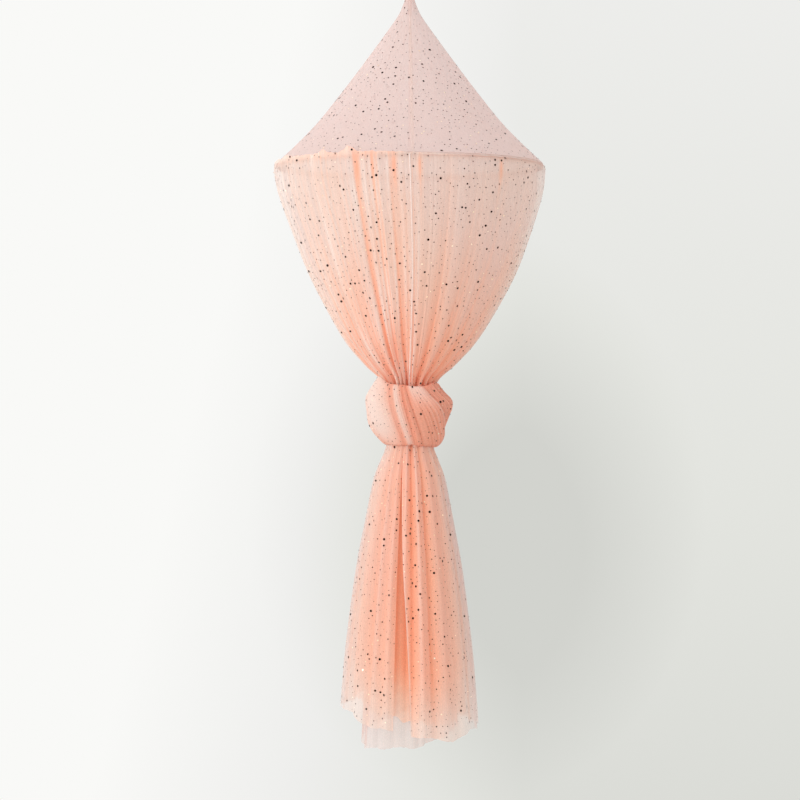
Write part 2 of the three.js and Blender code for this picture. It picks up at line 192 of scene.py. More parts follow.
@dataclass(frozen=True)
class Creases:
    """Creases round a gathered cloth, with a rounded fold between each two.

    Attributes:
        places: Turns of the creases, in order, within one turn of the first.
        depths: How deep each crease is, as a share of the deepest.
        roundness: Below 1 the folds are full and the creases tight.
    """

    places: Sequence[float]
    depths: Sequence[float]
    roundness: float = 0.75

    @classmethod
    def scattered(cls, count: int, unevenness: float, seed: int, roundness: float = 0.75) -> Creases:
        """Spreads creases round the canopy at uneven distances.

        Args:
            count: How many creases.
            unevenness: How far a crease may move, as a share of their distance.
            seed: Sets the places and depths.
            roundness: As in the class.

        Returns:
            The creases.
        """
        chance = np.random.RandomState(seed)
        places = (np.arange(count) + 0.5 + unevenness * (chance.rand(count) - 0.5)) / count
        return cls(tuple(places), tuple(0.4 + 0.6 * chance.rand(count)), roundness)

    def fold(self, turn: Array) -> Array:
        """Returns how far the cloth is folded in: 0 on a fold's crown, up to 1 in a crease."""
        places = np.array(self.places)
        depths = np.array(self.depths)
        places = np.concatenate([places[-1:] - 1, places, places[:1] + 1])
        depths = np.concatenate([depths[-1:], depths, depths[:1]])
        wrapped = np.mod(turn - places[0], 1.0) + places[0]
        here = np.clip(np.searchsorted(places, wrapped, side="right") - 1, 0, len(places) - 2)
        share = (wrapped - places[here]) / (places[here + 1] - places[here])
        crown = np.sin(math.pi * np.clip(share, 0, 1)) ** self.roundness
        return (1 - crown) * blend(depths[here], depths[here + 1], ease(share))


@dataclass(frozen=True)
class Ridges:
    """Pleats that stand proud of a gathered cloth and catch the light.

    Attributes:
        places: Turns of the ridges.
        heights: How far each stands out, as a share of the highest.
    """

    places: Sequence[float]
    heights: Sequence[float]

    @classmethod
    def scattered(cls, count: int, first: float, last: float, seed: int) -> Ridges:
        """Spreads ridges of uneven heights at random between two places."""
        chance = np.random.RandomState(seed)
        return cls(tuple(blend(first, last, chance.rand(count))), tuple(0.3 + 0.7 * chance.rand(count)))

    def rise(self, turn: Array, reach: Array | float) -> Array:
        """Returns how much of a ridge stands at a place, from how far ridges reach to each side in turns."""
        total = np.zeros_like(turn)
        for centre, height in zip(self.places, self.heights):
            total = np.maximum(total, height * bump(apart(turn, centre) / reach, 1.0))
        return total


@dataclass(frozen=True)
class Flaps:
    """Layers of cloth wrapped over each other, each with a crisp edge on its right.

    Attributes:
        edges: Turns of the crisp edges.
        reaches: How far to the left each flap rises towards its edge, in turns.
        heights: How far each edge stands off the layer below, as a share of the highest.
        crispness: How wide the edges are, in turns.
    """

    edges: Sequence[float]
    reaches: Sequence[float]
    heights: Sequence[float]
    crispness: float = 0.004

    def rise(self, turn: Array) -> Array:
        """Returns how far the cloth is lifted by the flaps."""
        total = np.zeros_like(turn)
        for edge, reach, height in zip(self.edges, self.reaches, self.heights):
            before = np.mod(edge - turn + 0.5, 1.0) - 0.5
            edge_slope = ease((before + self.crispness) / self.crispness)
            total = total + height * ease(1 - before / reach) * edge_slope
        return total


@dataclass(frozen=True)
class Patch:
    """A soft patch or line that runs down the cloth at one place round the canopy.

    Attributes:
        place: The turn of its middle.
        spread: How far it reaches to each side, in turns.
        amount: How strong it is in the middle.
    """

    place: float
    spread: float
    amount: float = 1.0

    def over(self, turn: Array) -> Array:
        """Returns how strong it is at places round the canopy."""
        return self.amount * bump(apart(turn, self.place), self.spread)


# Finishes


def colour(code: str) -> tuple[float, float, float, float]:
    """Returns a linear colour from the six hex digits of an sRGB one."""
    shares = [int(code[i : i + 2], 16) / 255 for i in (0, 2, 4)]
    linear = [s / 12.92 if s <= 0.04045 else ((s + 0.055) / 1.055) ** 2.4 for s in shares]
    return (*linear, 1.0)


@dataclass
class NodeSheet:
    """The node tree of a material or the world, while it is laid out.

    Attributes:
        tree: The tree that the nodes go into.
    """

    tree: bpy.types.NodeTree

    def add(self, kind: str, inputs: Inputs | None = None, **settings: object) -> bpy.types.Node:
        """Adds a node.

        Args:
            kind: The node's type, without the words ShaderNode.
            inputs: What goes into its sockets. Numbers and colours are set, and other sockets are linked.
            **settings: The node's own settings.

        Returns:
            The node.
        """
        node = self.tree.nodes.new(f"ShaderNode{kind}")
        for name, value in settings.items():
            setattr(node, name, value)
        for name, value in (inputs or {}).items():
            if isinstance(value, Socket):
                self.tree.links.new(value, node.inputs[name])
            else:
                node.inputs[name].default_value = value
        return node

    def maths(self, operation: str, first: object, second: object, third: object = 0.0) -> Socket:
        """Adds a Math node on sockets or numbers and returns its result."""
        return self.add("Math", {0: first, 1: second, 2: third}, operation=operation).outputs["Value"]

    def noise(self, spot: Socket, scale: float, detail: float, roughness: float = 0.5) -> Socket:
        """Adds smooth noise and returns its value.

        Args:
            spot: The layout that it reads.
            scale: How many blotches it has along a unit of the layout.
            detail: How many finer layers of noise it sums.
            roughness: How strong the finer layers are.

        Returns:
            The noise, around a half.
        """
        inputs = {"Vector": spot, "Scale": scale, "Detail": detail, "Roughness": roughness}
        return self.add("TexNoise", inputs).outputs["Fac"]

    def relief(self, height: Socket, strength: float, depth: float) -> Socket:
        """Adds relief finer than the mesh and returns its normal."""
        return self.add("Bump", {"Height": height, "Strength": strength, "Distance": depth}).outputs["Normal"]

    def mix(self, share: float | Socket, first: Socket, second: Socket) -> Socket:
        """Mixes two shaders by the share of the second and returns the result."""
        return self.add("MixShader", {"Fac": share, 1: first, 2: second}).outputs["Shader"]

    def cloth_layout(self) -> Socket:
        """Returns a cloth's own layout, in metres across and up its cut."""
        return self.add("UVMap", uv_map="cloth").outputs["UV"]

    def ramp(self, factor: Socket, stops: Dye) -> Socket:
        """Adds a colour ramp.

        Args:
            factor: What it reads.
            stops: Pairs of a position and an sRGB hex colour, from the lowest.

        Returns:
            Its colour.
        """
        node = self.add("ValToRGB", {"Fac": factor})
        elements = node.color_ramp.elements
        while len(elements) < len(stops):
            elements.new(0.5)
        for element, (position, code) in zip(elements, stops):
            element.position = position
            element.color = colour(code)
        return node.outputs["Color"]


def new_material(name: str) -> tuple[Material, NodeSheet]:
    """Returns an empty material and the sheet that its nodes go on."""
    material = bpy.data.materials.new(name)
    material.use_nodes = True
    material.node_tree.nodes.clear()
    return material, NodeSheet(material.node_tree)


@dataclass(frozen=True)
class Tulle:
    """Soft knitted net of dyed nylon, which lets light and sight through where it hangs in one layer.

    The more it is gathered, the more layers of net lie behind each other: the colour goes from a pale blush
    to a warm peach, and less shows through.

    Attributes:
        name: The material's name.
        stops: The dye's colour from one layer to many.
        thin: How much one layer covers.
        thick: How much many layers cover.
        pleat: The width of the finest gathers.
        streak_length: How long their streaks are.
        streak: How much the finest gathers change the stacking.
        patchiness: How much broad patches change it.
        glow: The share of light that goes through the threads.
        warmth: How strongly broad patches turn to a yellower peach.
        yellow: The tint of those patches.
        highlight: The cream of the painted highlight on rolled pleats and edges.
        highlight_cover: How much the net covers under a painted highlight.
        hole: The size of the net's holes. They are under 2 mm and drawn at 4 mm, wide enough to show.
    """

    name: str
    stops: Dye
    thin: float
    thick: float
    pleat: float = 4 * MM
    streak_length: float = 0.625
    streak: float = 0.25
    patchiness: float = 0.16
    glow: float = 0.3
    warmth: float = 0.25
    yellow: str = "fffae0"
    crest: str = "fff1e6"
    highlight_cover: float = 0.9
    hole: float = 4 * MM

    def gathers(self, sheet: NodeSheet, layout: Socket) -> Socket:
        """Returns long soft streaks along the cloth, as the finest gathers make."""
        scale = (1 / self.pleat, 1 / self.streak_length, 1.0)
        lengthwise = sheet.add("Mapping", {"Vector": layout, "Scale": scale}).outputs["Vector"]
        return sheet.noise(lengthwise, scale=1.0, detail=2.5, roughness=0.6)

    def layers(self, sheet: NodeSheet, layout: Socket, gathers: Socket) -> Socket:
        """Returns how much net is stacked: the painted stacking with streaks and broad patches."""
        stacking = sheet.add("Attribute", attribute_name="stacking").outputs["Fac"]
        streaks = sheet.maths("MULTIPLY_ADD", gathers, self.streak, -self.streak / 2)
        broad = sheet.noise(layout, scale=9.0, detail=2.0)
        patches = sheet.maths("MULTIPLY_ADD", broad, self.patchiness, -self.patchiness / 2)
        return sheet.maths("ADD", sheet.maths("ADD", stacking, streaks), patches)

    def dye(self, sheet: NodeSheet, layout: Socket, layers: Socket, paleness: Socket) -> Socket:
        """Returns the colour. The dye takes unevenly, in yellower patches, and a painted highlight turns
        rolled pleats and edges cream.
        """
        strength = sheet.maths("MULTIPLY", sheet.noise(layout, scale=4.5, detail=1.5), self.warmth * 1.6)
        inputs = {"Fac": strength, "Color1": sheet.ramp(layers, self.stops), "Color2": colour(self.yellow)}
        patched = sheet.add("MixRGB", inputs, blend_type="MULTIPLY").outputs["Color"]
        # Painted highlight: the dye turns cream where rolled pleats and edges would catch the light
        inputs = {"Fac": paleness, "Color1": patched, "Color2": colour(self.crest)}
        return sheet.add("MixRGB", inputs).outputs["Color"]

    def cover(self, sheet: NodeSheet, layout: Socket, layers: Socket, paleness: Socket) -> Socket:
        """Returns how much the net hides: more where it is stacked or under a painted highlight, and less in
        its holes.
        """
        ends = {"From Min": 0.0, "From Max": 0.8, "To Min": self.thin, "To Max": self.thick}
        stacked = sheet.add("MapRange", {"Value": layers, **ends}, clamp=True).outputs["Result"]
        covered = sheet.maths("MAXIMUM", stacked, sheet.maths("MULTIPLY", paleness, self.highlight_cover))
        net = {"Vector": layout, "Scale": 1 / self.hole}
        threads = sheet.add("TexVoronoi", net, feature="DISTANCE_TO_EDGE").outputs["Distance"]
        holes = sheet.maths("MULTIPLY_ADD", threads, 0.5, 0.9)
        return sheet.maths("MULTIPLY", covered, sheet.maths("MINIMUM", holes, 1.0))

    def material(self) -> Material:
        """Returns the material. It reads the cloth's own layout, its stacking and its painted highlight."""
        material, sheet = new_material(self.name)
        layout = sheet.cloth_layout()
        paleness = sheet.add("Attribute", attribute_name="paleness").outputs["Fac"]
        gathers = self.gathers(sheet, layout)
        layers = self.layers(sheet, layout, gathers)
        dye = self.dye(sheet, layout, layers, paleness)
        relief = sheet.relief(gathers, strength=0.35, depth=1.2 * MM)
        soft = {"Roughness": 0.85, "Specular IOR Level": 0.25, "Sheen Weight": 0.12, "Sheen Roughness": 0.5}
        threads = sheet.add("BsdfPrincipled", {"Base Color": dye, "Normal": relief, **soft}).outputs["BSDF"]
        through = sheet.add("BsdfTranslucent", {"Color": dye, "Normal": relief}).outputs["BSDF"]
        cloth = sheet.mix(self.glow, threads, through)
        clear = sheet.add("BsdfTransparent").outputs["BSDF"]
        net = sheet.mix(self.cover(sheet, layout, layers, paleness), clear, cloth)
        sheet.add("OutputMaterial", {"Surface": net})
        return material


@dataclass(frozen=True)
class Woven:
    """Plain woven binding or webbing: fine cross threads, matt, darker between the threads.

    Attributes:
        name: The material's name.
        light: The thread's colour.
        dark: The colour between the threads.
        thread: How wide a thread is drawn. A real one is about half a millimetre, too fine to show.
        band: How far apart the bands of a wave texture lie at a scale of 1.
    """

    name: str
    light: str
    dark: str
    thread: float = 1.0 * MM
    band: float = 0.314

    def material(self) -> Material:
        """Returns the material, which follows the piece's own layout."""
        material, sheet = new_material(self.name)
        layout = sheet.cloth_layout()
        bands = {"Vector": layout, "Scale": self.band / self.thread, "Distortion": 0.6, "Detail": 1.0}
        threads = [sheet.add("TexWave", bands, wave_type="BANDS", bands_direction=way) for way in "XY"]
        weave = sheet.maths("MULTIPLY", *(way.outputs["Fac"] for way in threads))
        blotches = sheet.maths("MULTIPLY", sheet.noise(layout, scale=40.0, detail=3.0), 0.5)
        tone = sheet.maths("MULTIPLY_ADD", weave, 0.5, blotches)
        look = {
            "Base Color": sheet.ramp(tone, ((0.15, self.dark), (0.7, self.light))),
            "Normal": sheet.relief(weave, strength=0.5, depth=0.3 * MM),
            "Roughness": 0.8,
            "Specular IOR Level": 0.3,
            "Sheen Weight": 0.2,
        }
        sheet.add("OutputMaterial", {"Surface": sheet.add("BsdfPrincipled", look).outputs["BSDF"]})
        return material


@dataclass(frozen=True)
class Smooth:
    """Drawn wire, tube or plastic rod, or pressed foil: an even surface with faint marks and duller patches.

    Attributes:
        name: The material's name.
        light: The brighter tone.
        dark: The duller tone.
        metallic: 1 for metal, 0 for plastic.
        roughness: How dull it is on the whole.
        grain: The size of the faint marks.
    """

    name: str
    light: str
    dark: str
    metallic: float
    roughness: float
    grain: float = 3 * MM

    def material(self) -> Material:
        """Returns the material, on the piece's own place in metres."""
        material, sheet = new_material(self.name)
        spot = sheet.add("TexCoord").outputs["Object"]
        marks = sheet.noise(spot, scale=1 / self.grain, detail=4.0, roughness=0.65)
        look = {
            "Metallic": self.metallic,
            "Base Color": sheet.ramp(marks, ((0.3, self.dark), (0.65, self.light))),
            "Roughness": sheet.maths("MULTIPLY_ADD", marks, 0.2, self.roughness - 0.1),
            "Normal": sheet.relief(marks, strength=0.12, depth=0.1 * MM),
        }
        sheet.add("OutputMaterial", {"Surface": sheet.add("BsdfPrincipled", look).outputs["BSDF"]})
        return material


# The canopy's own finishes, each with what it gives the eye. A dye goes from one layer of net to many.

# Thin knitted net in one taut layer: an even dusty pink that the pale wall shows through
ROOF_NET = Tulle(
    "sheer_roof_tulle",
    ((0.0, "f4e2de"), (0.4, "f1d6d0"), (1.0, "f3cdc2")),
    thin=0.62,
    thick=0.9,
    streak=0.1,
    warmth=0.1,
)
# The same net folded and sewn down: a line a little paler than the roof
SEAM_NET = Tulle(
    "felled_tulle_seam", ((0.0, "f8eae6"), (1.0, "f3d8d0")), thin=0.35, thick=0.6, streak=0.1
)
# Net gathered on the hoop: sheer dusty pink at the top, streaked peach where the folds meet at the neck
CURTAIN_NET = Tulle(
    "gathered_peach_tulle",
    ((0.0, "f5e4e0"), (0.25, "f8e0d7"), (0.5, "fbd4c4"), (0.75, "fec3ab"), (1.0, "ffb395")),
    thin=0.48,
    thick=0.97,
    warmth=0.36,
)
# Net rolled into a narrow hem: its two turned edges are painted as crisp cream lines of highlight
HEM_NET = Tulle(
    "rolled_tulle_hem",
    ((0.0, "f8dfd6"), (1.0, "fdb8a0")),
    thin=0.05,
    thick=0.3,
    streak=0.1,
    crest="fffaf6",
)
# Plain net without foil: a pale pink mist inside the curtain and under the tail's hem
LINING_NET = Tulle(
    "plain_lining_tulle", ((0.0, "eedddd"), (0.5, "fad4c6"), (1.0, "ffba9f")), thin=0.42, thick=0.97
)
# Many layers drawn tight round the neck: a full salmon that hides all behind it, with painted cream
# highlights on its crests
KNOT_NET = Tulle(
    "knotted_peach_tulle",
    # Its deepest stop is kept dark as painted shade, for the knot's right side, which turns from the light
    ((0.0, "f9e6de"), (0.25, "fbdccf"), (0.5, "fccdbb"), (0.75, "fbb8a0"), (1.0, "f3a98f")),
    thin=0.86,
    thick=1.0,
)
# Net that hangs free: peach in its folds, sheer blush at its sides and its raw hem
TAIL_NET = Tulle(
    "hanging_peach_tulle",
    ((0.0, "f6e2de"), (0.25, "fbe0d4"), (0.5, "fed5c3"), (0.75, "ffc5aa"), (1.0, "ffb491")),
    thin=0.42,
    thick=0.97,
)
# The inner layers bunched together: a warm orange that glows through the cloth in front, its dye set brighter
# as painted light against the shade between the leaves
CORE_NET = Tulle(
    "bunched_peach_tulle",
    ((0.0, "fbe3d8"), (0.5, "ffd2b9"), (1.0, "ffb28e")),
    thin=0.5,
    thick=1.0,
    glow=0.4,
)
# Net folded over the hoop several times: a narrow salmon band with a dark line along its lower seam, partly
# its turned-in edges and partly painted shade
SLEEVE_NET = Tulle(
    "folded_tulle_binding",
    ((0.0, "f6e0da"), (0.4, "ecc6ba"), (1.0, "c4836f")),
    thin=0.5,
    thick=0.98,
    glow=0.15,
)
# Spun thread: small matt stitches, darker than the cloth
THREAD = Woven("sewing_thread", "c99a8d", "a87466")
# Cotton webbing: a matt pale pink with a fine grid of threads
WEBBING = Woven("woven_cotton_tape", "efdcd6", "cdb0a7", thread=0.8 * MM)
# Foil pressed onto net: bronze dots with a brown gleam, their colour kept nearly black as a painted
# reflection of dark surroundings
BRONZE_FOIL = Smooth("pressed_bronze_foil", "2c1712", "140906", metallic=0.85, roughness=0.5, grain=6 * MM)
# A few dots at random painted near white: painted glints, as of foil catching the light
GLINT_FOIL = Smooth("painted_glint_foil", "fff3df", "f2cfa2", metallic=0.45, roughness=0.3, grain=9 * MM)
# Plated wire: bright grey, with a sharp line of light along it
STEEL = Smooth("plated_steel_wire", "d6d8db", "b2b5b9", metallic=1.0, roughness=0.22)
# Drawn plastic: off-white and soft, it only shows as a pale core inside the sleeve
PLASTIC = Smooth("drawn_plastic_rod", "f1efea", "e2dfd8", metallic=0.0, roughness=0.5)
# Satin aluminium: light grey with a broad soft gleam
ALUMINIUM = Smooth("satin_aluminium_tube", "c4c7cb", "a3a6aa", metallic=1.0, roughness=0.35)


# Cloth as fine grids


def mesh_of(name: str, shape: bmesh.types.BMesh) -> bpy.types.Mesh:
    """Turns a drawn shape into a mesh and frees the shape."""
    mesh = bpy.data.meshes.new(name)
    shape.to_mesh(mesh)
    shape.free()
    return mesh


def add_piece(name: str, mesh: bpy.types.Mesh, finish: Material) -> Piece:
    """Puts a mesh into the scene.

    Args:
        name: The piece's name.
        mesh: Its mesh.
        finish: Its material.

    Returns:
        The piece.
    """
    mesh.materials.append(finish)
    piece = bpy.data.objects.new(name, mesh)
    bpy.context.collection.objects.link(piece)
    return piece


@dataclass(frozen=True)
class Cut:
    """The flat size that a cloth is cut to, and how finely it is drawn.

    Attributes:
        width: Its width.
        length: Its length.
        columns: Grid steps across.
        rows: Grid steps up.
        ring: Whether the two side edges are sewn together.
        area: Its flat area, where its sides are curved and it is less than width times length.
    """

    width: float
    length: float
    columns: int
    rows: int
    ring: bool = False
    area: float | None = None

    @property
    def flat(self) -> tuple[float, float]:
        """Returns the width and the length."""
        return self.width, self.length


@dataclass
class HungCloth:
    """A sheet of cloth, laid out as a fine grid and then moved into its hung shape.

    Attributes:
        name: The piece's name.
        cut: Its flat size.
        surface: The place of each point, from shares across (anticlockwise) and up.
        stacking: How much net lies behind each other there, from 0 to 1.
        paleness: Where a painted highlight lies on rolled pleats and edges, from 0 to 1.
    """

    name: str
    cut: Cut
    surface: Surface
    stacking: Shade
    paleness: Shade = evenly(0.0)

    def build(self, finish: Material) -> Piece:
        """Builds the cloth.

        Args:
            finish: Its material.

        Returns:
            The piece, with its layout in metres, its stacking and its painted highlight.
        """
        grid = bmesh.new()
        bmesh.ops.create_grid(grid, x_segments=self.cut.columns, y_segments=self.cut.rows, size=0.5)
        mesh = mesh_of(self.name, grid)
        points = np.empty(len(mesh.vertices) * 3)
        mesh.vertices.foreach_get("co", points)
        across, up = points.reshape(-1, 3)[:, 0] + 0.5, points.reshape(-1, 3)[:, 1] + 0.5
        mesh.vertices.foreach_set("co", self.surface(across, up).ravel())
        corners = np.empty(len(mesh.loops), dtype=np.int32)
        mesh.loops.foreach_get("vertex_index", corners)
        layout = np.stack([across * self.cut.width, up * self.cut.length], axis=-1)[corners]
        mesh.uv_layers.new(name="cloth").data.foreach_set("uv", layout.ravel())
        for name, shade in (("stacking", self.stacking), ("paleness", self.paleness)):
            shares = mesh.attributes.new(name, "FLOAT", "POINT")
            shares.data.foreach_set("value", np.clip(shade(across, up), 0, 1))
        if self.cut.ring:
            sewn = bmesh.new()
            sewn.from_mesh(mesh)
            bmesh.ops.remove_doubles(sewn, verts=sewn.verts, dist=0.01 * MM)
            sewn.to_mesh(mesh)
            sewn.free()
        mesh.shade_smooth()
        return add_piece(self.name, mesh, finish)


@dataclass(frozen=True)
class DotKind:
    """One size of foil dot.

    Attributes:
        name: What it is called.
        density: How many there are on a square metre.
        diameters: The smallest and the largest.
        foil: The foil.
        sides: How many sides a dot is drawn with.
        slant: How far a dot may lean out of the cloth, as a slope.
    """

    name: str
    density: float
    diameters: tuple[float, float]
    foil: Material
    sides: int = 8
    slant: float = 0.3

    def build(self, name: str, spots: Array, normals: Array, chance: np.random.RandomState) -> Piece:
        """Builds dots of this kind as one piece.

        Args:
            name: The piece's name.
            spots: The dots' middles.
            normals: The way that each faces.
            chance: Sets their sizes and slants.

        Returns:
            The piece.
        """
        disc = bmesh.new()
        bmesh.ops.create_circle(disc, cap_ends=True, segments=self.sides, radius=0.5)
        disc.faces.ensure_lookup_table()
        rim = np.array([corner.co[:2] for corner in disc.faces[0].verts])
        disc.free()
        facing = normals + self.slant * (chance.rand(*normals.shape) - 0.5)
        sideways = np.cross((0.0, 0.0, 1.0), facing)
        sideways /= np.linalg.norm(sideways, axis=1, keepdims=True)
        upward = np.cross(facing, sideways)
        upward /= np.linalg.norm(upward, axis=1, keepdims=True)
        # The power makes small dots more common than large ones
        sizes = blend(*self.diameters, chance.rand(len(spots), 1, 1) ** 1.5)
        corners = rim[None, :, :1] * sideways[:, None] + rim[None, :, 1:] * upward[:, None]
        points = (spots[:, None] + sizes * corners).reshape(-1, 3)
        mesh = bpy.data.meshes.new(name)
        mesh.from_pydata(points, [], np.arange(len(points)).reshape(-1, len(rim)))
        return add_piece(name, mesh, self.foil)


@dataclass
class FoilPrint:
    """The foil dots on every printed cloth, spread at random but never close together.

    Attributes:
        kinds: The kinds of dots.
        lift: How far the foil stands off the net.
        tries: How many places are tried on a cloth.
        step: The step, as a share of the cloth, that its slope is measured over.
    """

    kinds: Sequence[DotKind]
    lift: float = 0.6 * MM
    tries: int = 24000
    step: float = 1e-4

    @classmethod
    def usual(cls) -> FoilPrint:
        """Returns the canopy's print: bronze dots of three sizes and a few painted glints."""
        bronze, glint = BRONZE_FOIL.material(), GLINT_FOIL.material()
        return cls(
            (
                DotKind("large_dots", 280, (4.8 * MM, 6.4 * MM), bronze),
                DotKind("small_dots", 1100, (2.4 * MM, 3.6 * MM), bronze),
                DotKind("fine_dots", 1700, (1.5 * MM, 2.2 * MM), bronze),
                DotKind("painted_glint_dots", 190, (2.6 * MM, 4.6 * MM), glint),
            )
        )

    @property
    def density(self) -> float:
        """Returns how many dots of all kinds there are on a square metre."""
        return sum(kind.density for kind in self.kinds)

    def spread(self, surface: Surface, chance: np.random.RandomState) -> tuple[Array, Array]:
        """Spreads places over a cloth.

        Args:
            surface: The cloth's surface.
            chance: Sets the places.

        Returns:
            The places in random order, and the way that the cloth faces there.
        """
        # Places keep off the cloth's edges
        across, up = chance.rand(self.tries) * 0.998 + 0.001, chance.rand(self.tries) * 0.98 + 0.01
        here = surface(across, up)
        along = (surface(across + self.step, up) - here) / self.step
        upward = (surface(across, up + self.step) - here) / self.step
        outward = np.cross(along, upward)
        area = np.linalg.norm(outward, axis=1)
        # A place stays more often where the cloth is wide, so that the dots come out even on it
        likely = np.flatnonzero(chance.rand(len(area)) < area / np.percentile(area, 99))
        tree = KDTree(len(likely))
        for number, index in enumerate(likely):
            tree.insert(here[index], number)
        tree.balance()
        free, kept = np.ones(len(likely), dtype=bool), []
        for number, index in enumerate(likely):
            if free[number] and len(kept) < self.density * area.mean():
                kept.append(index)
                for _, near, _ in tree.find_range(here[index], 0.5 / math.sqrt(self.density)):
                    free[near] = False
        normals = outward[kept] / area[kept, None]
        return here[kept] + self.lift * normals, normals

    def press(self, cloth: Piece, surface: Surface, seed: int) -> None:
        """Presses dots of all kinds onto a cloth and lets them ride with the canopy.

        Args:
            cloth: The cloth.
            surface: Its surface.
            seed: Sets the places.
        """
        chance = np.random.RandomState(seed)
        spots, normals = self.spread(surface, chance)
        first = 0
        for kind in self.kinds:
            last = first + round(len(spots) * kind.density / self.density)
            dots = kind.build(f"{cloth.name}_{kind.name}", spots[first:last], normals[first:last], chance)
            ride(dots, Body.CANOPY)
            first = last


# Joining pieces to the frame


def ride(piece: Piece, body: Body, replaced: Sequence[str] = ()) -> None:
    """Joins a piece to a body.

    Args:
        piece: The piece.
        body: What it moves with.
        replaced: The plain solids that it stands for.
    """
    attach(piece, body.value)
    if replaced:
        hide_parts(*replaced)
    log.info("%s: %d faces, rides on %s", piece.name, len(piece.data.polygons), body.value)


def dress(node: str, body: Body, finish: Material) -> None:
    """Gives a solid that is kept as it is its finish.

    Args:
        node: The solid's name.
        body: What it moves with.
        finish: The material.
    """
    for slot in bpy.data.objects[node].material_slots:
        slot.material = finish
    log.info("%s: kept solid, rides on %s", node, body.value)


# The canopy's own parts


@dataclass
class Roof:
    """The hollow cone of thin net above the hoop, sewn from four gores.

    Attributes:
        drop: From the tip down to the hoop.
        tip_radius: The tip's radius, round the tape.
        seat: Where the cloth meets the sleeve, as a share of the sleeve's radius.
        outline: Shares of the drop and the radius.
        folds: The pulls that run down from the tip.
        pull: How deep they are, as a share of the radius.
        slack: How deep the cloth sags between the tip and the hoop.
        seam_width: The width of a felled seam.
        seams: Each seam's name and place.
        cut: The cloth's flat size, as four curved gores.
    """

    drop: float = 410 * MM
    tip_radius: float = 8 * MM
    seat: float = math.sqrt(0.5)
    outline: Outline = (
        (0.06, 0.052), (0.12, 0.088), (0.24, 0.194), (0.48, 0.417), (0.72, 0.653), (0.84, 0.79),
        (0.93, 0.905),
    )
    folds: Creases = Creases.scattered(26, unevenness=0.7, seed=11, roundness=1.2)
    pull: float = 0.07
    slack: float = 1.2 * MM
    seam_width: float = 7 * MM
    seams: Sequence[tuple[str, float]] = (("front", 0.003), ("right", 0.25), ("back", 0.5), ("left", 0.75))
    cut: Cut = Cut(2.02, 0.53, columns=260, rows=90, ring=True, area=0.56)

    def profile(self) -> Profile:
        """Returns the outline from the tip to the sleeve."""
        seat = SLEEVE_RADIUS * self.seat + 0.3 * MM
        depth, radius = self.drop - seat, HOOP_RADIUS + seat + 1.2 * MM
        stations = [(out * radius, TIP_HEIGHT - down * depth) for down, out in self.outline]
        return Profile(((self.tip_radius, TIP_HEIGHT), *stations, (radius, TIP_HEIGHT - depth)))

    def surface(self, across: Array, up: Array) -> Array:
        """Returns points of the roof. Faint pulls run from the tip down and fade before the hoop."""
        down = 1 - up
        radius, height = self.profile().at(down)
        pull = self.pull * self.folds.fold(across) * radius * np.exp(-down / 0.22)
        slack = self.slack * self.folds.fold(across + 0.02) * np.sin(math.pi * down) ** 2
        return place(across, radius - pull - slack, height)

    def stacking(self, across: Array, up: Array) -> Array:
        """Returns one layer of net, a little denser in the pulls at the tip."""
        # Denser in the pulls' creases: partly more layers, partly painted shade
        return 0.2 + 0.35 * np.exp(-(1 - up) / 0.07) + 0.1 * self.folds.fold(across) * (0.3 + 0.7 * up)

    def seam(self, turn: float) -> Surface:
        """Returns the surface of a felled seam at a place, a narrow double strip on the cloth."""

        def strip(across: Array, up: Array) -> Array:
            """Returns points of the strip, which is narrower near the tip."""
            radius, height = self.profile().at(1 - up)
            half = self.seam_width / 2 * np.minimum(1, 0.35 + radius / 0.2)
            off = (2 * across - 1) * half / np.maximum(radius, self.tip_radius)
            proud = 0.9 * MM * (1 - (2 * across - 1) ** 4) + 0.1 * MM
            return place(turn + off / (2 * math.pi), radius + proud, height)

        return strip

    def build(self, foil: FoilPrint) -> None:
        """Builds the cone, its seams and its dots."""
        cone = HungCloth("roof_cloth", self.cut, self.surface, self.stacking).build(ROOF_NET.material())
        ride(cone, Body.CANOPY, [f"roof_gore_{side}" for side in QUARTERS])
        strip = Cut(self.seam_width, self.cut.length, columns=6, rows=90)
        folded, seams = SEAM_NET.material(), []
        for name, turn in self.seams:
            seam = HungCloth(f"roof_seam_{name}", strip, self.seam(turn), evenly(0.45))
            seams.append(seam.build(folded))
            ride(seams[-1], Body.CANOPY)
        foil.press(cone, self.surface, seed=20)


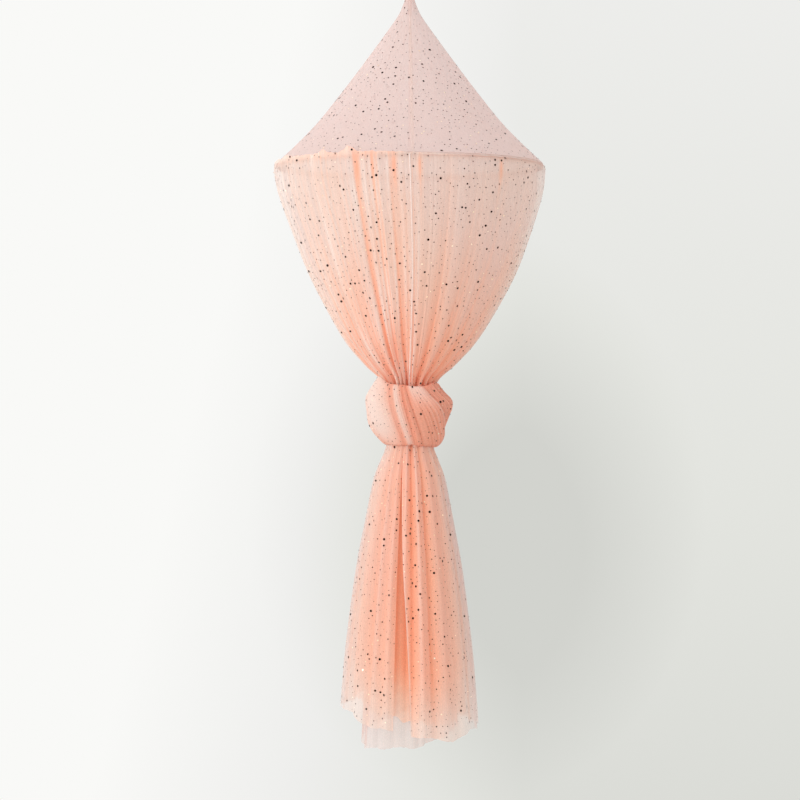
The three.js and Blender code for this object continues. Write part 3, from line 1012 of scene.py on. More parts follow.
@dataclass
class Hoop:
    """The hoop's sleeve of bound cloth, closed by a row of stitches below.

    Attributes:
        pucker: How far the cloth is drawn in between the stitches.
        wander: How far it strays from round.
        stitch_gap: The distance between stitches.
        stitch_length: The length of a stitch.
        stitch_slope: Where the stitches sit on the sleeve's section, in degrees above its outermost line.
        thread_radius: The thread's radius.
        cut: The cloth's flat size: the hoop's length round and the sleeve's girth.
    """

    pucker: float = 0.25 * MM
    wander: float = 0.3 * MM
    stitch_gap: float = 7 * MM
    stitch_length: float = 4.5 * MM
    stitch_slope: float = -12
    thread_radius: float = 0.35 * MM
    cut: Cut = Cut(2 * math.pi * HOOP_RADIUS, 2 * math.pi * SLEEVE_RADIUS, columns=400, rows=20, ring=True)

    def sleeve(self, across: Array, up: Array) -> Array:
        """Returns points of the sleeve, with small puckers between the stitches."""
        pucker = self.pucker * np.sin(2 * math.pi * self.cut.width * across / (2.2 * self.stitch_gap))
        wander = self.wander * ripple(across, (23, 41, 67), seed=3)
        section = 2 * math.pi * (0.02 + 0.96 * up)
        thick = SLEEVE_RADIUS + (pucker + wander) * (0.5 + 0.5 * np.cos(section))
        return place(across, HOOP_RADIUS + thick * np.sin(section), HOOP_HEIGHT - thick * np.cos(section))

    def stacking(self, across: Array, up: Array) -> Array:
        """Returns one layer of binding, and a dark line at the outer lower seam: partly the edges turned in
        there, partly painted shade along the sleeve's lower edge.
        """
        return 0.12 + 0.95 * bump(up - 0.2, 0.045) + 0.06 * ripple(across, (19, 37, 53), seed=4)

    def stitches(self) -> Piece:
        """Builds the row of stitches on the outer lower side of the sleeve and returns the piece."""
        count = int(self.cut.width / self.stitch_gap)
        slope, away = math.radians(self.stitch_slope), SLEEVE_RADIUS + 0.25 * MM
        radius, height = HOOP_RADIUS + away * math.cos(slope), HOOP_HEIGHT + away * math.sin(slope)
        size = Matrix.Diagonal((self.stitch_length / 2, self.thread_radius, self.thread_radius, 1))
        row = bmesh.new()
        for number in range(count):
            angle = 2 * math.pi * number / count
            spot = Matrix.Translation((radius * math.sin(angle), -radius * math.cos(angle), height))
            turned = spot @ Matrix.Rotation(angle, 4, "Z") @ size
            bmesh.ops.create_icosphere(row, subdivisions=1, radius=1, matrix=turned)
        mesh = mesh_of("hoop_sleeve_stitches", row)
        mesh.shade_smooth()
        mesh.uv_layers.new(name="cloth").data.foreach_set("uv", np.zeros(len(mesh.loops) * 2))
        return add_piece(mesh.name, mesh, THREAD.material())

    def build(self) -> None:
        """Builds the sleeve with its stitches and dresses the rods and ferrules inside."""
        cloth = HungCloth("hoop_sleeve_cloth", self.cut, self.sleeve, self.stacking)
        sleeve = cloth.build(SLEEVE_NET.material())
        ride(sleeve, Body.CANOPY, ["hoop_sleeve"])
        stitches = self.stitches()
        ride(stitches, Body.CANOPY)
        plastic, aluminium = PLASTIC.material(), ALUMINIUM.material()
        for side in QUARTERS:
            dress(f"hoop_rod_{side}", Body.CANOPY, plastic)
        for side in ("right", "back", "left", "front"):
            dress(f"hoop_ferrule_{side}", Body.CANOPY, aluminium)


@dataclass
class Curtain:
    """The gathered curtain from the hoop down into the knot, with its front hem and its lining.

    Attributes:
        height: From the hoop to the knot.
        tuck: How far it reaches down into the knot.
        tuck_radius: The radius at its lower edge, inside the knot.
        bulb_radius: The widest place, just under the hoop.
        neck_radius: The radius where the knot grips it.
        lean: How far the bulb leans to the right.
        head_fold: How deep the main folds are at the hoop.
        neck_fold: How deep they are at the neck.
        outline: Shares of the height and the radius.
        pleats: The main folds.
        gathers: Finer folds on them.
        heading: The finest gathers, at the hoop.
        ridges: The pleats that stand proud, pale with a painted highlight.
        dense_heads: Where the net is bunched under the hoop.
        sheer_heads: Where it hangs in one layer there.
        threads: The finest crisp pleats, at the front left.
        ruffles: The places, reaches and heights of the pointed ruffles on the left of the heading.
        soft_side: Where the folds are softer, at the front right.
        left_side: Where the cloth is thin at the left.
        right_side: Where it is thin at the right.
        lit_side: Where a painted wash of light pales the folds.
        pale_side: Where painted light pales the upper cloth, at the front right.
        lining_folds: The lining's folds.
        lining_sides: Where the lining is thin.
        leaves: Each leaf's name, the turns where it starts and ends, and the seed of its dots.
        cut: The flat size of each leaf, as two curved panels.
        hem_cut: That of the front hem.
        lining_cut: That of the lining.
    """

    height: float = 515 * MM
    tuck: float = 48 * MM
    tuck_radius: float = 51.5 * MM
    bulb_radius: float = 325.6 * MM
    neck_radius: float = 70 * MM
    lean: float = 7 * MM
    head_fold: float = 2.0 * MM
    neck_fold: float = 20 * MM
    outline: Outline = (
        (0.035, 1), (0.14, 0.972), (0.33, 0.872), (0.51, 0.762), (0.7, 0.604), (0.83, 0.474),
        (0.93, 0.332),
    )
    pleats: Creases = Creases(
        (
            -0.228, -0.196, -0.168, -0.142, -0.118, -0.096, -0.06, -0.042, -0.022, 0.045, 0.088, 0.124,
            0.165, 0.205, 0.25, 0.3, 0.345, 0.385, 0.43, 0.465, 0.51, 0.555, 0.59, 0.635, 0.67,
            0.71, 0.745,
        ),
        (
            0.7, 0.8, 0.65, 0.9, 0.7, 0.85, 0.8, 0.7, 0.9, 0.7, 0.6, 0.55,
            0.6, 0.5, 0.6, 0.7, 0.6, 0.8, 0.6, 0.7, 0.9, 0.7, 0.6, 0.8, 0.7, 0.6, 0.8,
        ),
        1.4,
    )
    gathers: Creases = Creases.scattered(84, unevenness=0.8, seed=5, roundness=1.5)
    heading: Creases = Creases.scattered(210, unevenness=0.7, seed=6, roundness=1.5)
    ridges: Ridges = Ridges(
        (
            -0.222, -0.205, -0.181, -0.158, -0.135, -0.116, -0.096, -0.071, -0.052, -0.036,
            -0.008, 0.028, 0.066,
        ),
        (0.35, 0.45, 0.4, 0.55, 0.5, 0.6, 0.45, 1.0, 0.75, 0.6, 0.3, 0.3, 0.25),
    )
    dense_heads: Ridges = Ridges((-0.062, -0.043, -0.019, 0.0098, 0.1122), (1.0, 0.7, 1.0, 0.8, 0.9))
    sheer_heads: Ridges = Ridges((-0.033, -0.004, 0.028, 0.062), (1.0, 0.8, 1.0, 0.7))
    threads: Ridges = Ridges.scattered(46, first=-0.245, last=0.02, seed=61)
    ruffles: Sequence[tuple[float, float, float]] = (
        (-0.071, 0.011, 1.0), (-0.1065, 0.009, 0.6), (-0.175, 0.012, 0.4),
    )
    soft_side: Patch = Patch(0.17, 0.13, 0.5)
    left_side: Patch = Patch(-0.25, 0.085, 0.34)
    right_side: Patch = Patch(0.25, 0.05, 0.3)
    lit_side: Patch = Patch(-0.19, 0.1, 0.3)
    pale_side: Patch = Patch(0.17, 0.1, 0.34)
    lining_folds: Creases = Creases.scattered(30, unevenness=0.7, seed=17, roundness=1.0)
    lining_sides: Sequence[Patch] = (Patch(0.25, 0.05, 0.25), Patch(-0.25, 0.05, 0.25))
    leaves: Sequence[tuple[str, float, float, int]] = (("left", -0.5, 0.0, 40), ("right", 0.0, 0.5, 60))
    cut: Cut = Cut(1.0, 0.6, columns=880, rows=112, area=0.5)
    hem_cut: Cut = Cut(9 * MM, 0.6, columns=20, rows=112)
    lining_cut: Cut = Cut(1.75, 0.58, columns=360, rows=110, ring=True, area=0.9)

    def profile(self) -> Profile:
        """Returns the outline from the hoop into the knot, along the folds' crowns."""
        head = HOOP_RADIUS + SLEEVE_RADIUS + 4.0 * MM
        stations = [(out * self.bulb_radius, HOOP_HEIGHT - down * self.height) for down, out in self.outline]
        neck = (self.neck_radius, HOOP_HEIGHT - self.height)
        inside = (self.tuck_radius, HOOP_HEIGHT - self.height - self.tuck)
        return Profile(((head, HOOP_HEIGHT + 4 * MM), *stations, neck, inside))

    @staticmethod
    def between(first: float, last: float, shape: Surface) -> Surface:
        """Returns a leaf's part of the curtain's shape.

        Args:
            first: The turn where the leaf starts.
            last: The turn where it ends.
            shape: Gives points or shares from turns and shares of the way down.

        Returns:
            The same from shares across the leaf and up it.
        """
        return lambda across, up: shape(blend(first, last, across), 1 - up)

    @staticmethod
    def leftness(turn: Array) -> Array:
        """Returns 1 on the left, where the heading stands over the sleeve, and 0 on the right."""
        return ease((0.02 - np.sin(2 * math.pi * turn)) / 0.3)

    @staticmethod
    def head(down: Array) -> Array:
        """Returns 1 at the top edge and 0 from just below the sleeve."""
        return np.clip(1 - down * 22, 0, 1)

    @staticmethod
    def ridge_width(down: Array) -> Array:
        """Returns how far the ridges reach to each side, in turns."""
        return blend(0.003, 0.007, down)

    @staticmethod
    def thread_width(down: Array) -> Array:
        """Returns how wide the crisp pleats are, in turns. They stay about 3 mm wide down to the knot."""
        return blend(0.0013, 0.0032, down)

    def fold_depth(self, down: Array) -> Array:
        """Returns how deep the main folds are at a share of the way down."""
        return blend(self.head_fold, self.neck_fold, np.clip(down, 0, 1) ** 1.9)

    def folded(self, turn: Array, down: Array) -> Array:
        """Returns how far in the cloth lies from the crowns of its folds."""
        crisp = 1 - self.soft_side.over(turn)
        main = self.fold_depth(down) * self.pleats.fold(turn) * blend(crisp, 1, down**2)
        fine = blend(1.2 * MM, 3.4 * MM, down) * self.gathers.fold(turn) * crisp
        finest = 1.0 * MM * self.heading.fold(turn) * np.exp(-down / 0.25) * crisp
        proud = blend(3.0 * MM, 6.0 * MM, down) * self.ridges.rise(turn, self.ridge_width(down))
        crisp_pleats = 1.6 * MM * self.threads.rise(turn, self.thread_width(down)) * rising(down, 0, 0.1)
        return main + fine + finest - proud - crisp_pleats

    def sideways(self, height: Array) -> Array:
        """Returns how far the middle line leans to the right at a height."""
        share = np.clip((HOOP_HEIGHT - height) / self.height, 0, 1)
        return self.lean * np.sin(math.pi * share)

    def ruffle(self, turn: Array) -> Array:
        """Returns the pointed ruffles on the left of the heading, from 0 to 1."""
        return np.maximum.reduce(
            [size * np.clip(1 - apart(turn, spot) / reach, 0, 1) ** 1.1 for spot, reach, size in self.ruffles]
        )

    def bunched(self, turn: Array, down: Array) -> Array:
        """Returns the short dense streaks under the hoop, from 0 to 1."""
        return self.dense_heads.rise(turn, 0.0034) * bump(down - 0.13, 0.1)

    def surface(self, turn: Array, down: Array) -> Array:
        """Returns points of the curtain, whose heading hides the sleeve only at the left."""
        radius, height = self.profile().at(down)
        head, ruffle = self.head(down), self.ruffle(turn)
        right = ease((np.sin(2 * math.pi * turn) + 0.35) / 0.9)
        frill = 1.2 * MM * ripple(turn, (57, 83, 131), seed=8) * (1 - right)
        lift = (15 * MM * ruffle + frill + 4.5 * MM * (1 - right) - 5.5 * MM * right) * head
        flare = 7 * MM * ruffle * head - 1.2 * MM * right * head**2
        return place(turn, radius - self.folded(turn, down) + flare, height + lift, self.sideways(height))

    def stacking(self, turn: Array, down: Array) -> Array:
        """Returns the stacking: thin at the top and the sides, dense at the neck and in the creases (partly
        painted shade), with painted shadows beside the pleats and painted light where the neck meets the
        knot.
        """
        ridge, thread = self.ridge_width(down), self.thread_width(down)
        depth = 0.18 + 0.12 * rising(down, 0, 0.4) + 0.62 * rising(down, 0.15, 0.8) ** 1.4
        creases = self.pleats.fold(turn) + 0.3 * self.gathers.fold(turn)
        # Denser in the creases: partly more layers seen there, partly painted shade
        gathered = (0.1 + 0.42 * down) * (creases - 0.42)
        # The heading is turned over, and on the left it stands out
        heading = (0.2 + 0.3 * self.ruffle(turn)) * np.exp(-down / 0.02)
        left = 0.4 * self.leftness(turn) * bump(down, 0.06)
        # Painted shadow: the cloth is darker beside each pale pleat and each crisp pleat
        beside = blend(0.08, 0.24, down) * self.ridges.rise(turn - 1.9 * ridge, 0.8 * ridge)
        lines = blend(0.3, 0.24, down) * self.threads.rise(turn - 1.5 * thread, thread)
        sheer = 0.16 * self.sheer_heads.rise(turn, 0.011) * bump(down - 0.035, 0.04)
        left_edge = self.left_side.over(turn) * (1 - 0.4 * rising(down, 0.5, 0.4))
        right_edge = self.right_side.over(turn) * rising(down, 0, 0.2)
        # Painted light: the stacking is eased off where the neck meets the knot, to lift the shade there
        lightened_neck = 0.4 * rising(down, 0.88, 0.08)
        dense = depth + gathered + heading + 0.6 * self.bunched(turn, down) + beside + left + lines
        return dense - sheer - left_edge - right_edge - lightened_neck

    def paleness(self, turn: Array, down: Array) -> Array:
        """Returns the painted highlight: on the proud pleats, the heading and two lit sides, and painted
        light in the throat at the knot.
        """
        crests = blend(0.6, 0.8, down) * self.ridges.rise(turn, 0.75 * self.ridge_width(down))
        fine = 0.95 * self.threads.rise(turn, self.thread_width(down))
        faded = 0.7 + 0.3 * np.sin(2 * math.pi * (3 * down + 7 * turn))
        heading = (0.28 * self.leftness(turn) + 0.25 * self.ruffle(turn)) * bump(down, 0.05)
        # Painted light in the throat at the knot, where shade falls
        throat = 0.85 * rising(down, 0.9, 0.07)
        thin = self.pale_side.over(turn) * (1 - rising(down, 0, 0.5))
        lit = self.lit_side.over(turn) * (1 - 0.7 * rising(down, 0.4, 0.5))
        pale = np.maximum.reduce([np.maximum(crests, fine) * faded, heading, throat, thin])
        return (pale * (1 - lit) + lit) * (1 - self.bunched(turn, down))

    def front_hem(self, across: Array, up: Array) -> Array:
        """Returns points of the double hem down the front, which stays as wide from the hoop to the knot."""
        down = 1 - up
        radius, height = self.profile().at(down)
        right = blend(-3.5 * MM, 6.5 * MM, across)
        proud = 0.4 * MM + 0.8 * MM * bump(across - 0.15, 0.15)
        turn = np.arcsin(np.clip(right / radius, -1, 1)) / (2 * math.pi)
        lift = -3 * MM * self.head(down)
        return place(turn, radius - self.folded(turn, down) + proud, height + lift, self.sideways(height))

    def hem_stacking(self, across: Array, up: Array) -> Array:
        """Returns the hem's stacking, which grows towards the knot."""
        return 0.1 + 0.5 * (1 - up) + 0 * across

    def hem_paleness(self, across: Array, up: Array) -> Array:
        """Returns the painted highlight on the hem's two stitched edges."""
        return bump(across - 0.17, 0.13) + blend(0.6, 0.9, 1 - up) * bump(across - 0.9, 0.1)

    def lining(self, across: Array, up: Array) -> Array:
        """Returns points of the lining, from inside the sleeve down inside the curtain's creases."""
        down = 1 - up
        radius, height = self.profile().at(down)
        top = self.profile().stations[0][0] - (HOOP_RADIUS - SLEEVE_RADIUS - 1.5 * MM)
        inset = blend(top, 6 * MM + self.fold_depth(down), ease(2 * down))
        folded = blend(2 * MM, 8 * MM, down) * self.lining_folds.fold(across)
        return place(across, radius - inset - folded, np.minimum(height, HOOP_HEIGHT), self.sideways(height))

    def lining_stacking(self, across: Array, up: Array) -> Array:
        """Returns the lining's stacking, pale at the hoop and dense at the neck."""
        depth = 0.12 + 0.85 * rising(1 - up, 0.15, 0.8)
        thin = sum(side.over(across) for side in self.lining_sides)
        # Denser in the folds' creases: partly more layers, partly painted shade
        return depth + 0.15 * (self.lining_folds.fold(across) - 0.3) - thin

    def build(self, plain: Material, foil: FoilPrint) -> None:
        """Builds the two leaves, the front hem and the lining.

        Args:
            plain: The plain net of the lining.
            foil: The foil print.
        """
        printed, leaves = CURTAIN_NET.material(), {}
        for side, first, last, seed in self.leaves:
            surface, stacking, paleness = (
                self.between(first, last, shape) for shape in (self.surface, self.stacking, self.paleness)
            )
            leaves[side] = HungCloth(f"curtain_{side}", self.cut, surface, stacking, paleness).build(printed)
            panels = [f"curtain_panel_{face}_{side}" for face in ("front", "back")]
            ride(leaves[side], Body.CANOPY, panels)
            foil.press(leaves[side], surface, seed)
        shades = (self.hem_stacking, self.hem_paleness)
        hem = HungCloth("curtain_front_hem", self.hem_cut, self.front_hem, *shades).build(HEM_NET.material())
        ride(hem, Body.CANOPY)
        lining = HungCloth("curtain_lining", self.lining_cut, self.lining, self.lining_stacking).build(plain)
        ride(lining, Body.CANOPY, [f"lining_upper_{side}" for side in QUARTERS])


@dataclass
class Knot:
    """The cloth wrapped once round its own neck: a full lobe on the left, folds that run down to the right.

    Each fold has a lane, which is the turn where it starts at the top edge.

    Attributes:
        front: The outline at the front: radius and height from the knot's middle, in millimetres.
        right: The outline on the right.
        back: The outline at the back.
        left: The outline on the left.
        inner_radius: How far in the outline's two ends are tucked, in millimetres.
        twist: How far the folds turn to the right on their way down, in turns.
        fan: How much more they turn on the right than on the left.
        fold: How deep the main folds are.
        overlap: How far the highest flap stands off.
        creases: The main folds.
        flaps: The layers that lie over each other.
        wrinkles: The finer folds on them.
        rim: Where the top edge stands higher.
        lobe_shape: The lobe that stays smooth.
        hollow: The hollow at the front, low down.
        tucked: The pucker in the lower edge at the front.
        lobe: The full lobe, where few layers lie.
        wedge: The wedge at the front, where few lie too.
        grooves: Where many layers meet, darker in part as painted shade.
        pale_lobe: Where a painted highlight lies on the lobe, as it catches the light.
        pale_band: A band of painted highlight beside it.
        pale_edges: The painted highlights on the flaps' crisp edges.
        pale_rim: The painted highlight on the rim at the front.
        cut: The cloth's flat size.
    """

    front: Outline = (
        (66, 58), (72, 65), (79, 55), (83, 34), (86, 6), (82, -24), (74, -52), (64, -73), (57, -76),
        (52, -70),
    )
    right: Outline = (
        (62, 66), (69, 73), (77, 62), (88, 49), (99, 38), (105, 26), (102, 9), (92, -9), (84, -30),
        (81, -52), (74, -70), (63, -80), (53, -77),
    )
    back: Outline = (
        (66, 66), (73, 71), (81, 56), (85, 30), (86, 0), (81, -28), (72, -56), (64, -74), (57, -78),
        (52, -70),
    )
    left: Outline = (
        (72, 84), (82, 80), (101, 52), (107, 34), (104, 6), (101, -20), (91, -42), (77, -59), (61, -73),
        (51, -71),
    )
    inner_radius: float = 46
    twist: float = 0.116
    fan: float = 0.21
    fold: float = 10 * MM
    overlap: float = 7 * MM
    creases: Creases = Creases(
        (-0.265, -0.122, -0.057, -0.04, 0.042, 0.075, 0.105, 0.15, 0.2292, 0.3542, 0.4792, 0.6042, 0.68),
        (0.2, 0.9, 0.85, 0.45, 0.3, 0.4, 0.45, 0.35, 0.5, 0.7, 0.6, 0.7, 0.4),
        0.8,
    )
    flaps: Flaps = Flaps((-0.122, 0.034, 0.1), (0.11, 0.075, 0.05), (0.55, 1.0, 0.45))
    wrinkles: Creases = Creases.scattered(120, unevenness=0.8, seed=23, roundness=1.2)
    rim: Ridges = Ridges((-0.2, -0.035, 0.15, 0.4, 0.6), (1.0, 0.6, 1.0, 0.7, 0.7))
    lobe_shape: Patch = Patch(-0.215, 0.09)
    hollow: Patch = Patch(-0.012, 0.03, 6 * MM)
    tucked: Patch = Patch(0.012, 0.022, 8 * MM)
    lobe: Patch = Patch(-0.215, 0.105, 0.5)
    wedge: Patch = Patch(0.002, 0.028, 0.35)
    grooves: Sequence[Patch] = (Patch(-0.114, 0.013, 0.32), Patch(-0.05, 0.01, 0.2))
    pale_lobe: Patch = Patch(-0.215, 0.08, 0.75)
    pale_band: Patch = Patch(-0.086, 0.015, 0.7)
    pale_edges: Sequence[Patch] = (Patch(0.031, 0.004, 0.45), Patch(0.098, 0.004, 0.3))
    pale_rim: Patch = Patch(0.0, 0.035, 0.4)
    cut: Cut = Cut(0.62, 0.24, columns=600, rows=164, ring=True)

    def side(self, stations: Outline, share: Array) -> tuple[Array, Array]:
        """Returns a side's radius and height at a share of its length.

        Args:
            stations: The side's outline, whose two ends are led in towards the neck.
            share: Shares of the length from the upper tucked end to the lower.

        Returns:
            The radius and the height, in metres.
        """
        over, under = stations[0][1] - 34, stations[-1][1] + 30
        profile = Profile([(self.inner_radius, over), *stations, (self.inner_radius, under)])
        fine = np.linspace(0, 1, 400)
        radius, height = profile.at(fine)
        length = np.concatenate([[0], np.cumsum(np.hypot(np.diff(radius), np.diff(height)))])
        radius, height = profile.at(np.interp(share, length / length[-1], fine))
        return radius * MM, height * MM

    def smooth(self, turn: Array, down: Array) -> tuple[Array, Array]:
        """Returns the radius and height of the knot without its folds."""
        quarter = np.mod(turn, 1.0) * 4
        radius, height = np.zeros_like(turn), np.zeros_like(turn)
        for number, stations in enumerate((self.front, self.right, self.back, self.left)):
            weight = ease(1 - np.abs(np.mod(quarter - number + 2, 4) - 2))
            side_radius, side_height = self.side(stations, down)
            radius, height = radius + weight * side_radius, height + weight * side_height
        return radius, height

    def slide(self, lane: Array) -> Array:
        """Returns how far each fold turns to the right on its way down, most of all on the right."""
        return self.twist + self.fan * (rising(lane, -0.07, 0.1) - rising(lane, 0.1, 0.4))

    def surface(self, across: Array, up: Array) -> Array:
        """Returns points of the knot. The grid follows the folds, which run down and to the right."""
        down, lane = 1 - up, across - 0.5
        turn = lane + self.slide(lane) * np.clip((down - 0.02) / 0.96, 0, 1) ** 1.4
        radius, height = self.smooth(turn, down)
        wrinkles = self.wrinkles.fold(lane)
        fine = 2.4 * MM * wrinkles * (1 - 0.85 * self.lobe_shape.over(lane))
        lifted = self.overlap * self.flaps.rise(lane) - self.hollow.over(lane) * bump(down - 0.6, 0.25)
        # The folds fade at the two tucked edges, and the lower one is puckered
        open_part = np.sin(math.pi * down) ** 1.2
        shape = (lifted - self.fold * self.creases.fold(lane) - fine) * open_part
        shape = shape - 3 * MM * wrinkles * bump(down - 0.9, 0.07)
        rolled = 7 * MM * self.rim.rise(turn, 0.045) * bump(down - 0.14, 0.12)
        tucked = self.tucked.over(turn) * bump(down - 0.92, 0.09)
        return place(turn, radius + shape - 0.5 * tucked, KNOT_MIDDLE + height + rolled + tucked)

    def stacking(self, across: Array, up: Array) -> Array:
        """Returns the stacking: thin on the full lobe at the left, dense in the grooves, partly as painted
        shade, and at the right, where painted shade darkens the side turned from the light.
        """
        down, lane = 1 - up, across - 0.5
        # Darker in the wrinkles' creases, partly as painted shade
        fine = 0.26 * (self.wrinkles.fold(lane) - 0.3) * (1 - self.lobe_shape.over(lane))
        # Painted shade: the right side, turned from the light, is darker
        right = 0.22 * rising(lane, -0.06, 0.05)
        # Denser in the creases and grooves: partly more layers meeting there, partly painted shade
        dense = 0.3 * (self.creases.fold(lane) - 0.25) + sum(groove.over(lane) for groove in self.grooves)
        lobe = self.lobe.over(lane) * (1 - rising(down, 0.55, 0.35))
        wedge = self.wedge.over(lane) * ease(1.15 - 2.2 * down)
        return 0.74 + dense + right + fine - lobe - wedge

    def paleness(self, across: Array, up: Array) -> Array:
        """Returns the painted highlight: on the lobe at the left, the band and wedge at the front, the crisp
        edges, the rim and the wrinkles' crowns.
        """
        down, lane = 1 - up, across - 0.5
        lobe = self.pale_lobe.over(lane) * (1 - 0.85 * rising(down, 0.5, 0.4))
        band = self.pale_band.over(lane) * (1 - 0.5 * down)
        wedge = 0.85 * rising(lane, -0.034, 0.012) * ease((0.03 - lane) / 0.008) * ease(1.25 - 2.6 * down)
        edges = sum(edge.over(lane) for edge in self.pale_edges) * ease(1.5 - 1.6 * down)
        rim = self.pale_rim.over(lane) * bump(down - 0.13, 0.03)
        wrinkled = 0.14 * np.clip(1 - 2.5 * self.wrinkles.fold(lane), 0, 1) * rising(lane, -0.03, 0.05)
        return np.maximum.reduce([lobe, band, wedge, edges, rim, wrinkled])

    def build(self, foil: FoilPrint) -> None:
        """Builds the knot and its dots."""
        cloth = HungCloth("knot_cloth", self.cut, self.surface, self.stacking, self.paleness)
        knot = cloth.build(KNOT_NET.material())
        ride(knot, Body.CANOPY, ["knot_wrap"])
        foil.press(knot, self.surface, seed=80)


@dataclass
class Tail:
    """The loose end of the cloth below the knot: two leaves over a dense core and a longer lining.

    Attributes:
        length: From the knot to the hem.
        neck_radius: The radius where it leaves the knot.
        hem_radius: The radius at the hem.
        fold: The depth of the folds at the hem.
        edge: Where the left leaf's front edge hangs, in turns.
        part: How far the right leaf's front edge is drawn away from it at the hem, in turns.
        outline: Shares of the length and the hem's radius.
        pleats: The main folds.
        gathers: The finer folds.
        ridges: The pleats that stand proud, pale with a painted highlight.
        top_crease: The crease under the knot's pucker.
        single_right: Where one layer hangs at the right.
        single_left: Where one layer hangs at the left.
        full_front: Where the cloth is fullest.
        pale_left: A painted highlight on the full cloth at the upper left.
        core_folds: The folds of the dense core.
        core_sides: Where the core is thin.
        open_front: Where the core shows between the two leaves, kept denser in colour as painted light
            against the shade there.
        lining_folds: The folds of the lining.
        cut: The outer cloth's flat size.
        core_cut: The core's.
        lining_cut: The lining's.
    """

    length: float = 645 * MM
    neck_radius: float = 58 * MM
    hem_radius: float = 167 * MM
    fold: float = 20 * MM
    edge: float = -0.041
    part: float = 0.041
    outline: Outline = (
        (0.05, 0.42), (0.12, 0.52), (0.26, 0.63), (0.43, 0.755), (0.6, 0.85), (0.8, 0.94),
        (1, 1),
    )
    pleats: Creases = Creases(
        (
            -0.225, -0.165, -0.109, -0.071, -0.041, 0.007, 0.06, 0.125, 0.18, 0.235, 0.3, 0.36, 0.42,
            0.49, 0.55, 0.61, 0.67, 0.72,
        ),
        (0.35, 0.4, 0.55, 0.35, 0.6, 0.9, 0.8, 0.45, 0.4, 0.5, 0.8, 0.7, 0.9, 0.7, 0.8, 0.6, 0.8, 0.7),
        1.5,
    )
    gathers: Creases = Creases.scattered(96, unevenness=0.8, seed=31, roundness=1.5)
    ridges: Ridges = Ridges((-0.205, -0.09, -0.016, 0.028, 0.05, 0.12), (0.4, 0.5, 0.8, 0.9, 0.5, 0.4))
    top_crease: Patch = Patch(0.012, 0.012, 8 * MM)
    single_right: Patch = Patch(0.225, 0.065, 0.55)
    single_left: Patch = Patch(-0.23, 0.08, 0.4)
    full_front: Patch = Patch(0.035, 0.08, 0.2)
    pale_left: Patch = Patch(-0.18, 0.1, 0.5)
    core_folds: Creases = Creases.scattered(34, unevenness=0.8, seed=41, roundness=0.8)
    core_sides: Sequence[Patch] = (Patch(0.25, 0.09, 0.35), Patch(0.75, 0.1, 0.5))
    open_front: Patch = Patch(0.5, 0.07, 0.22)
    lining_folds: Creases = Creases.scattered(22, unevenness=0.7, seed=51, roundness=1.0)
    cut: Cut = Cut(1.1, 0.7, columns=620, rows=140)
    core_cut: Cut = Cut(0.9, 0.66, columns=320, rows=110, ring=True)
    lining_cut: Cut = Cut(0.72, 0.74, columns=280, rows=110, ring=True)

    def profile(self, reach: float = 1.0) -> Profile:
        """Returns the outline from inside the knot to the hem, for a share of the tail's length."""
        length = self.length * reach
        stations = [(out * self.hem_radius, KNOT_BOTTOM - down * length) for down, out in self.outline]
        return Profile(((50 * MM, KNOT_BOTTOM + 45 * MM), (self.neck_radius, KNOT_BOTTOM), *stations))

    def turn_at(self, across: Array, down: Array) -> Array:
        """Returns the place round the tail. The cloth starts at the right leaf's front edge."""
        start = self.edge + self.part * rising(down, 0.2, 0.9) * 1.1
        return blend(start, self.edge + 1.0, across)

    def folded(self, turn: Array, down: Array) -> Array:
        """Returns how far in the cloth lies from the crowns of its folds."""
        depth = blend(6 * MM, self.fold, rising(down, 0, 0.85)) * self.pleats.fold(turn)
        top_crease = self.top_crease.over(turn) * (1 - rising(down, 0, 0.35))
        proud = 3 * MM * self.ridges.rise(turn, 0.006) * (1 - 0.5 * down)
        return depth + 0.9 * MM * self.gathers.fold(turn) + top_crease - proud

    def hem(self, turn: Array) -> Array:
        """Returns how far below its mean the raw-cut hem hangs."""
        sway = 40 * MM * np.cos(2 * math.pi * (turn - 0.11))
        uneven = 7 * MM * ripple(turn, (3, 5, 9), seed=12) + 0.6 * MM * ripple(turn, (31, 47, 71), seed=13)
        return sway + uneven

    def surface(self, across: Array, up: Array) -> Array:
        """Returns points of the outer cloth."""
        down = 1 - up
        turn = self.turn_at(across, down)
        radius, height = self.profile().at(down)
        return place(turn, radius - self.folded(turn, down), height - self.hem(turn) * down**3)

    def stacking(self, across: Array, up: Array) -> Array:
        """Returns the stacking: dense under the knot and in front, denser in the creases partly as painted
        shade, one layer at the sides and the hem.
        """
        down = 1 - up
        turn = self.turn_at(across, down)
        # Denser in the creases: partly more layers seen there, partly painted shade
        dense = 0.56 - 0.06 * down + 0.34 * (self.pleats.fold(turn) - 0.3)
        front = self.full_front.over(turn) * rising(down, 0, 0.5)
        right = self.single_right.over(turn) * rising(down, 0.1, 0.4)
        left = self.single_left.over(turn) * rising(down, -0.1, 0.3)
        return (dense + front - right - left) * (1 - 0.45 * rising(down, 0.86, 0.12))

    def paleness(self, across: Array, up: Array) -> Array:
        """Returns the painted highlight: on the ridges, the right leaf's front edge and the full upper left.
        """
        down = 1 - up
        turn = self.turn_at(across, down)
        crests = 0.5 * self.ridges.rise(turn, 0.004) * (1 - 0.5 * down)
        front_edge = 0.7 * bump(across, 0.0035) * rising(down, 0, 0.2)
        upper_left = self.pale_left.over(turn) * bump(down - 0.05, 0.35)
        return np.maximum.reduce([crests, front_edge, upper_left])

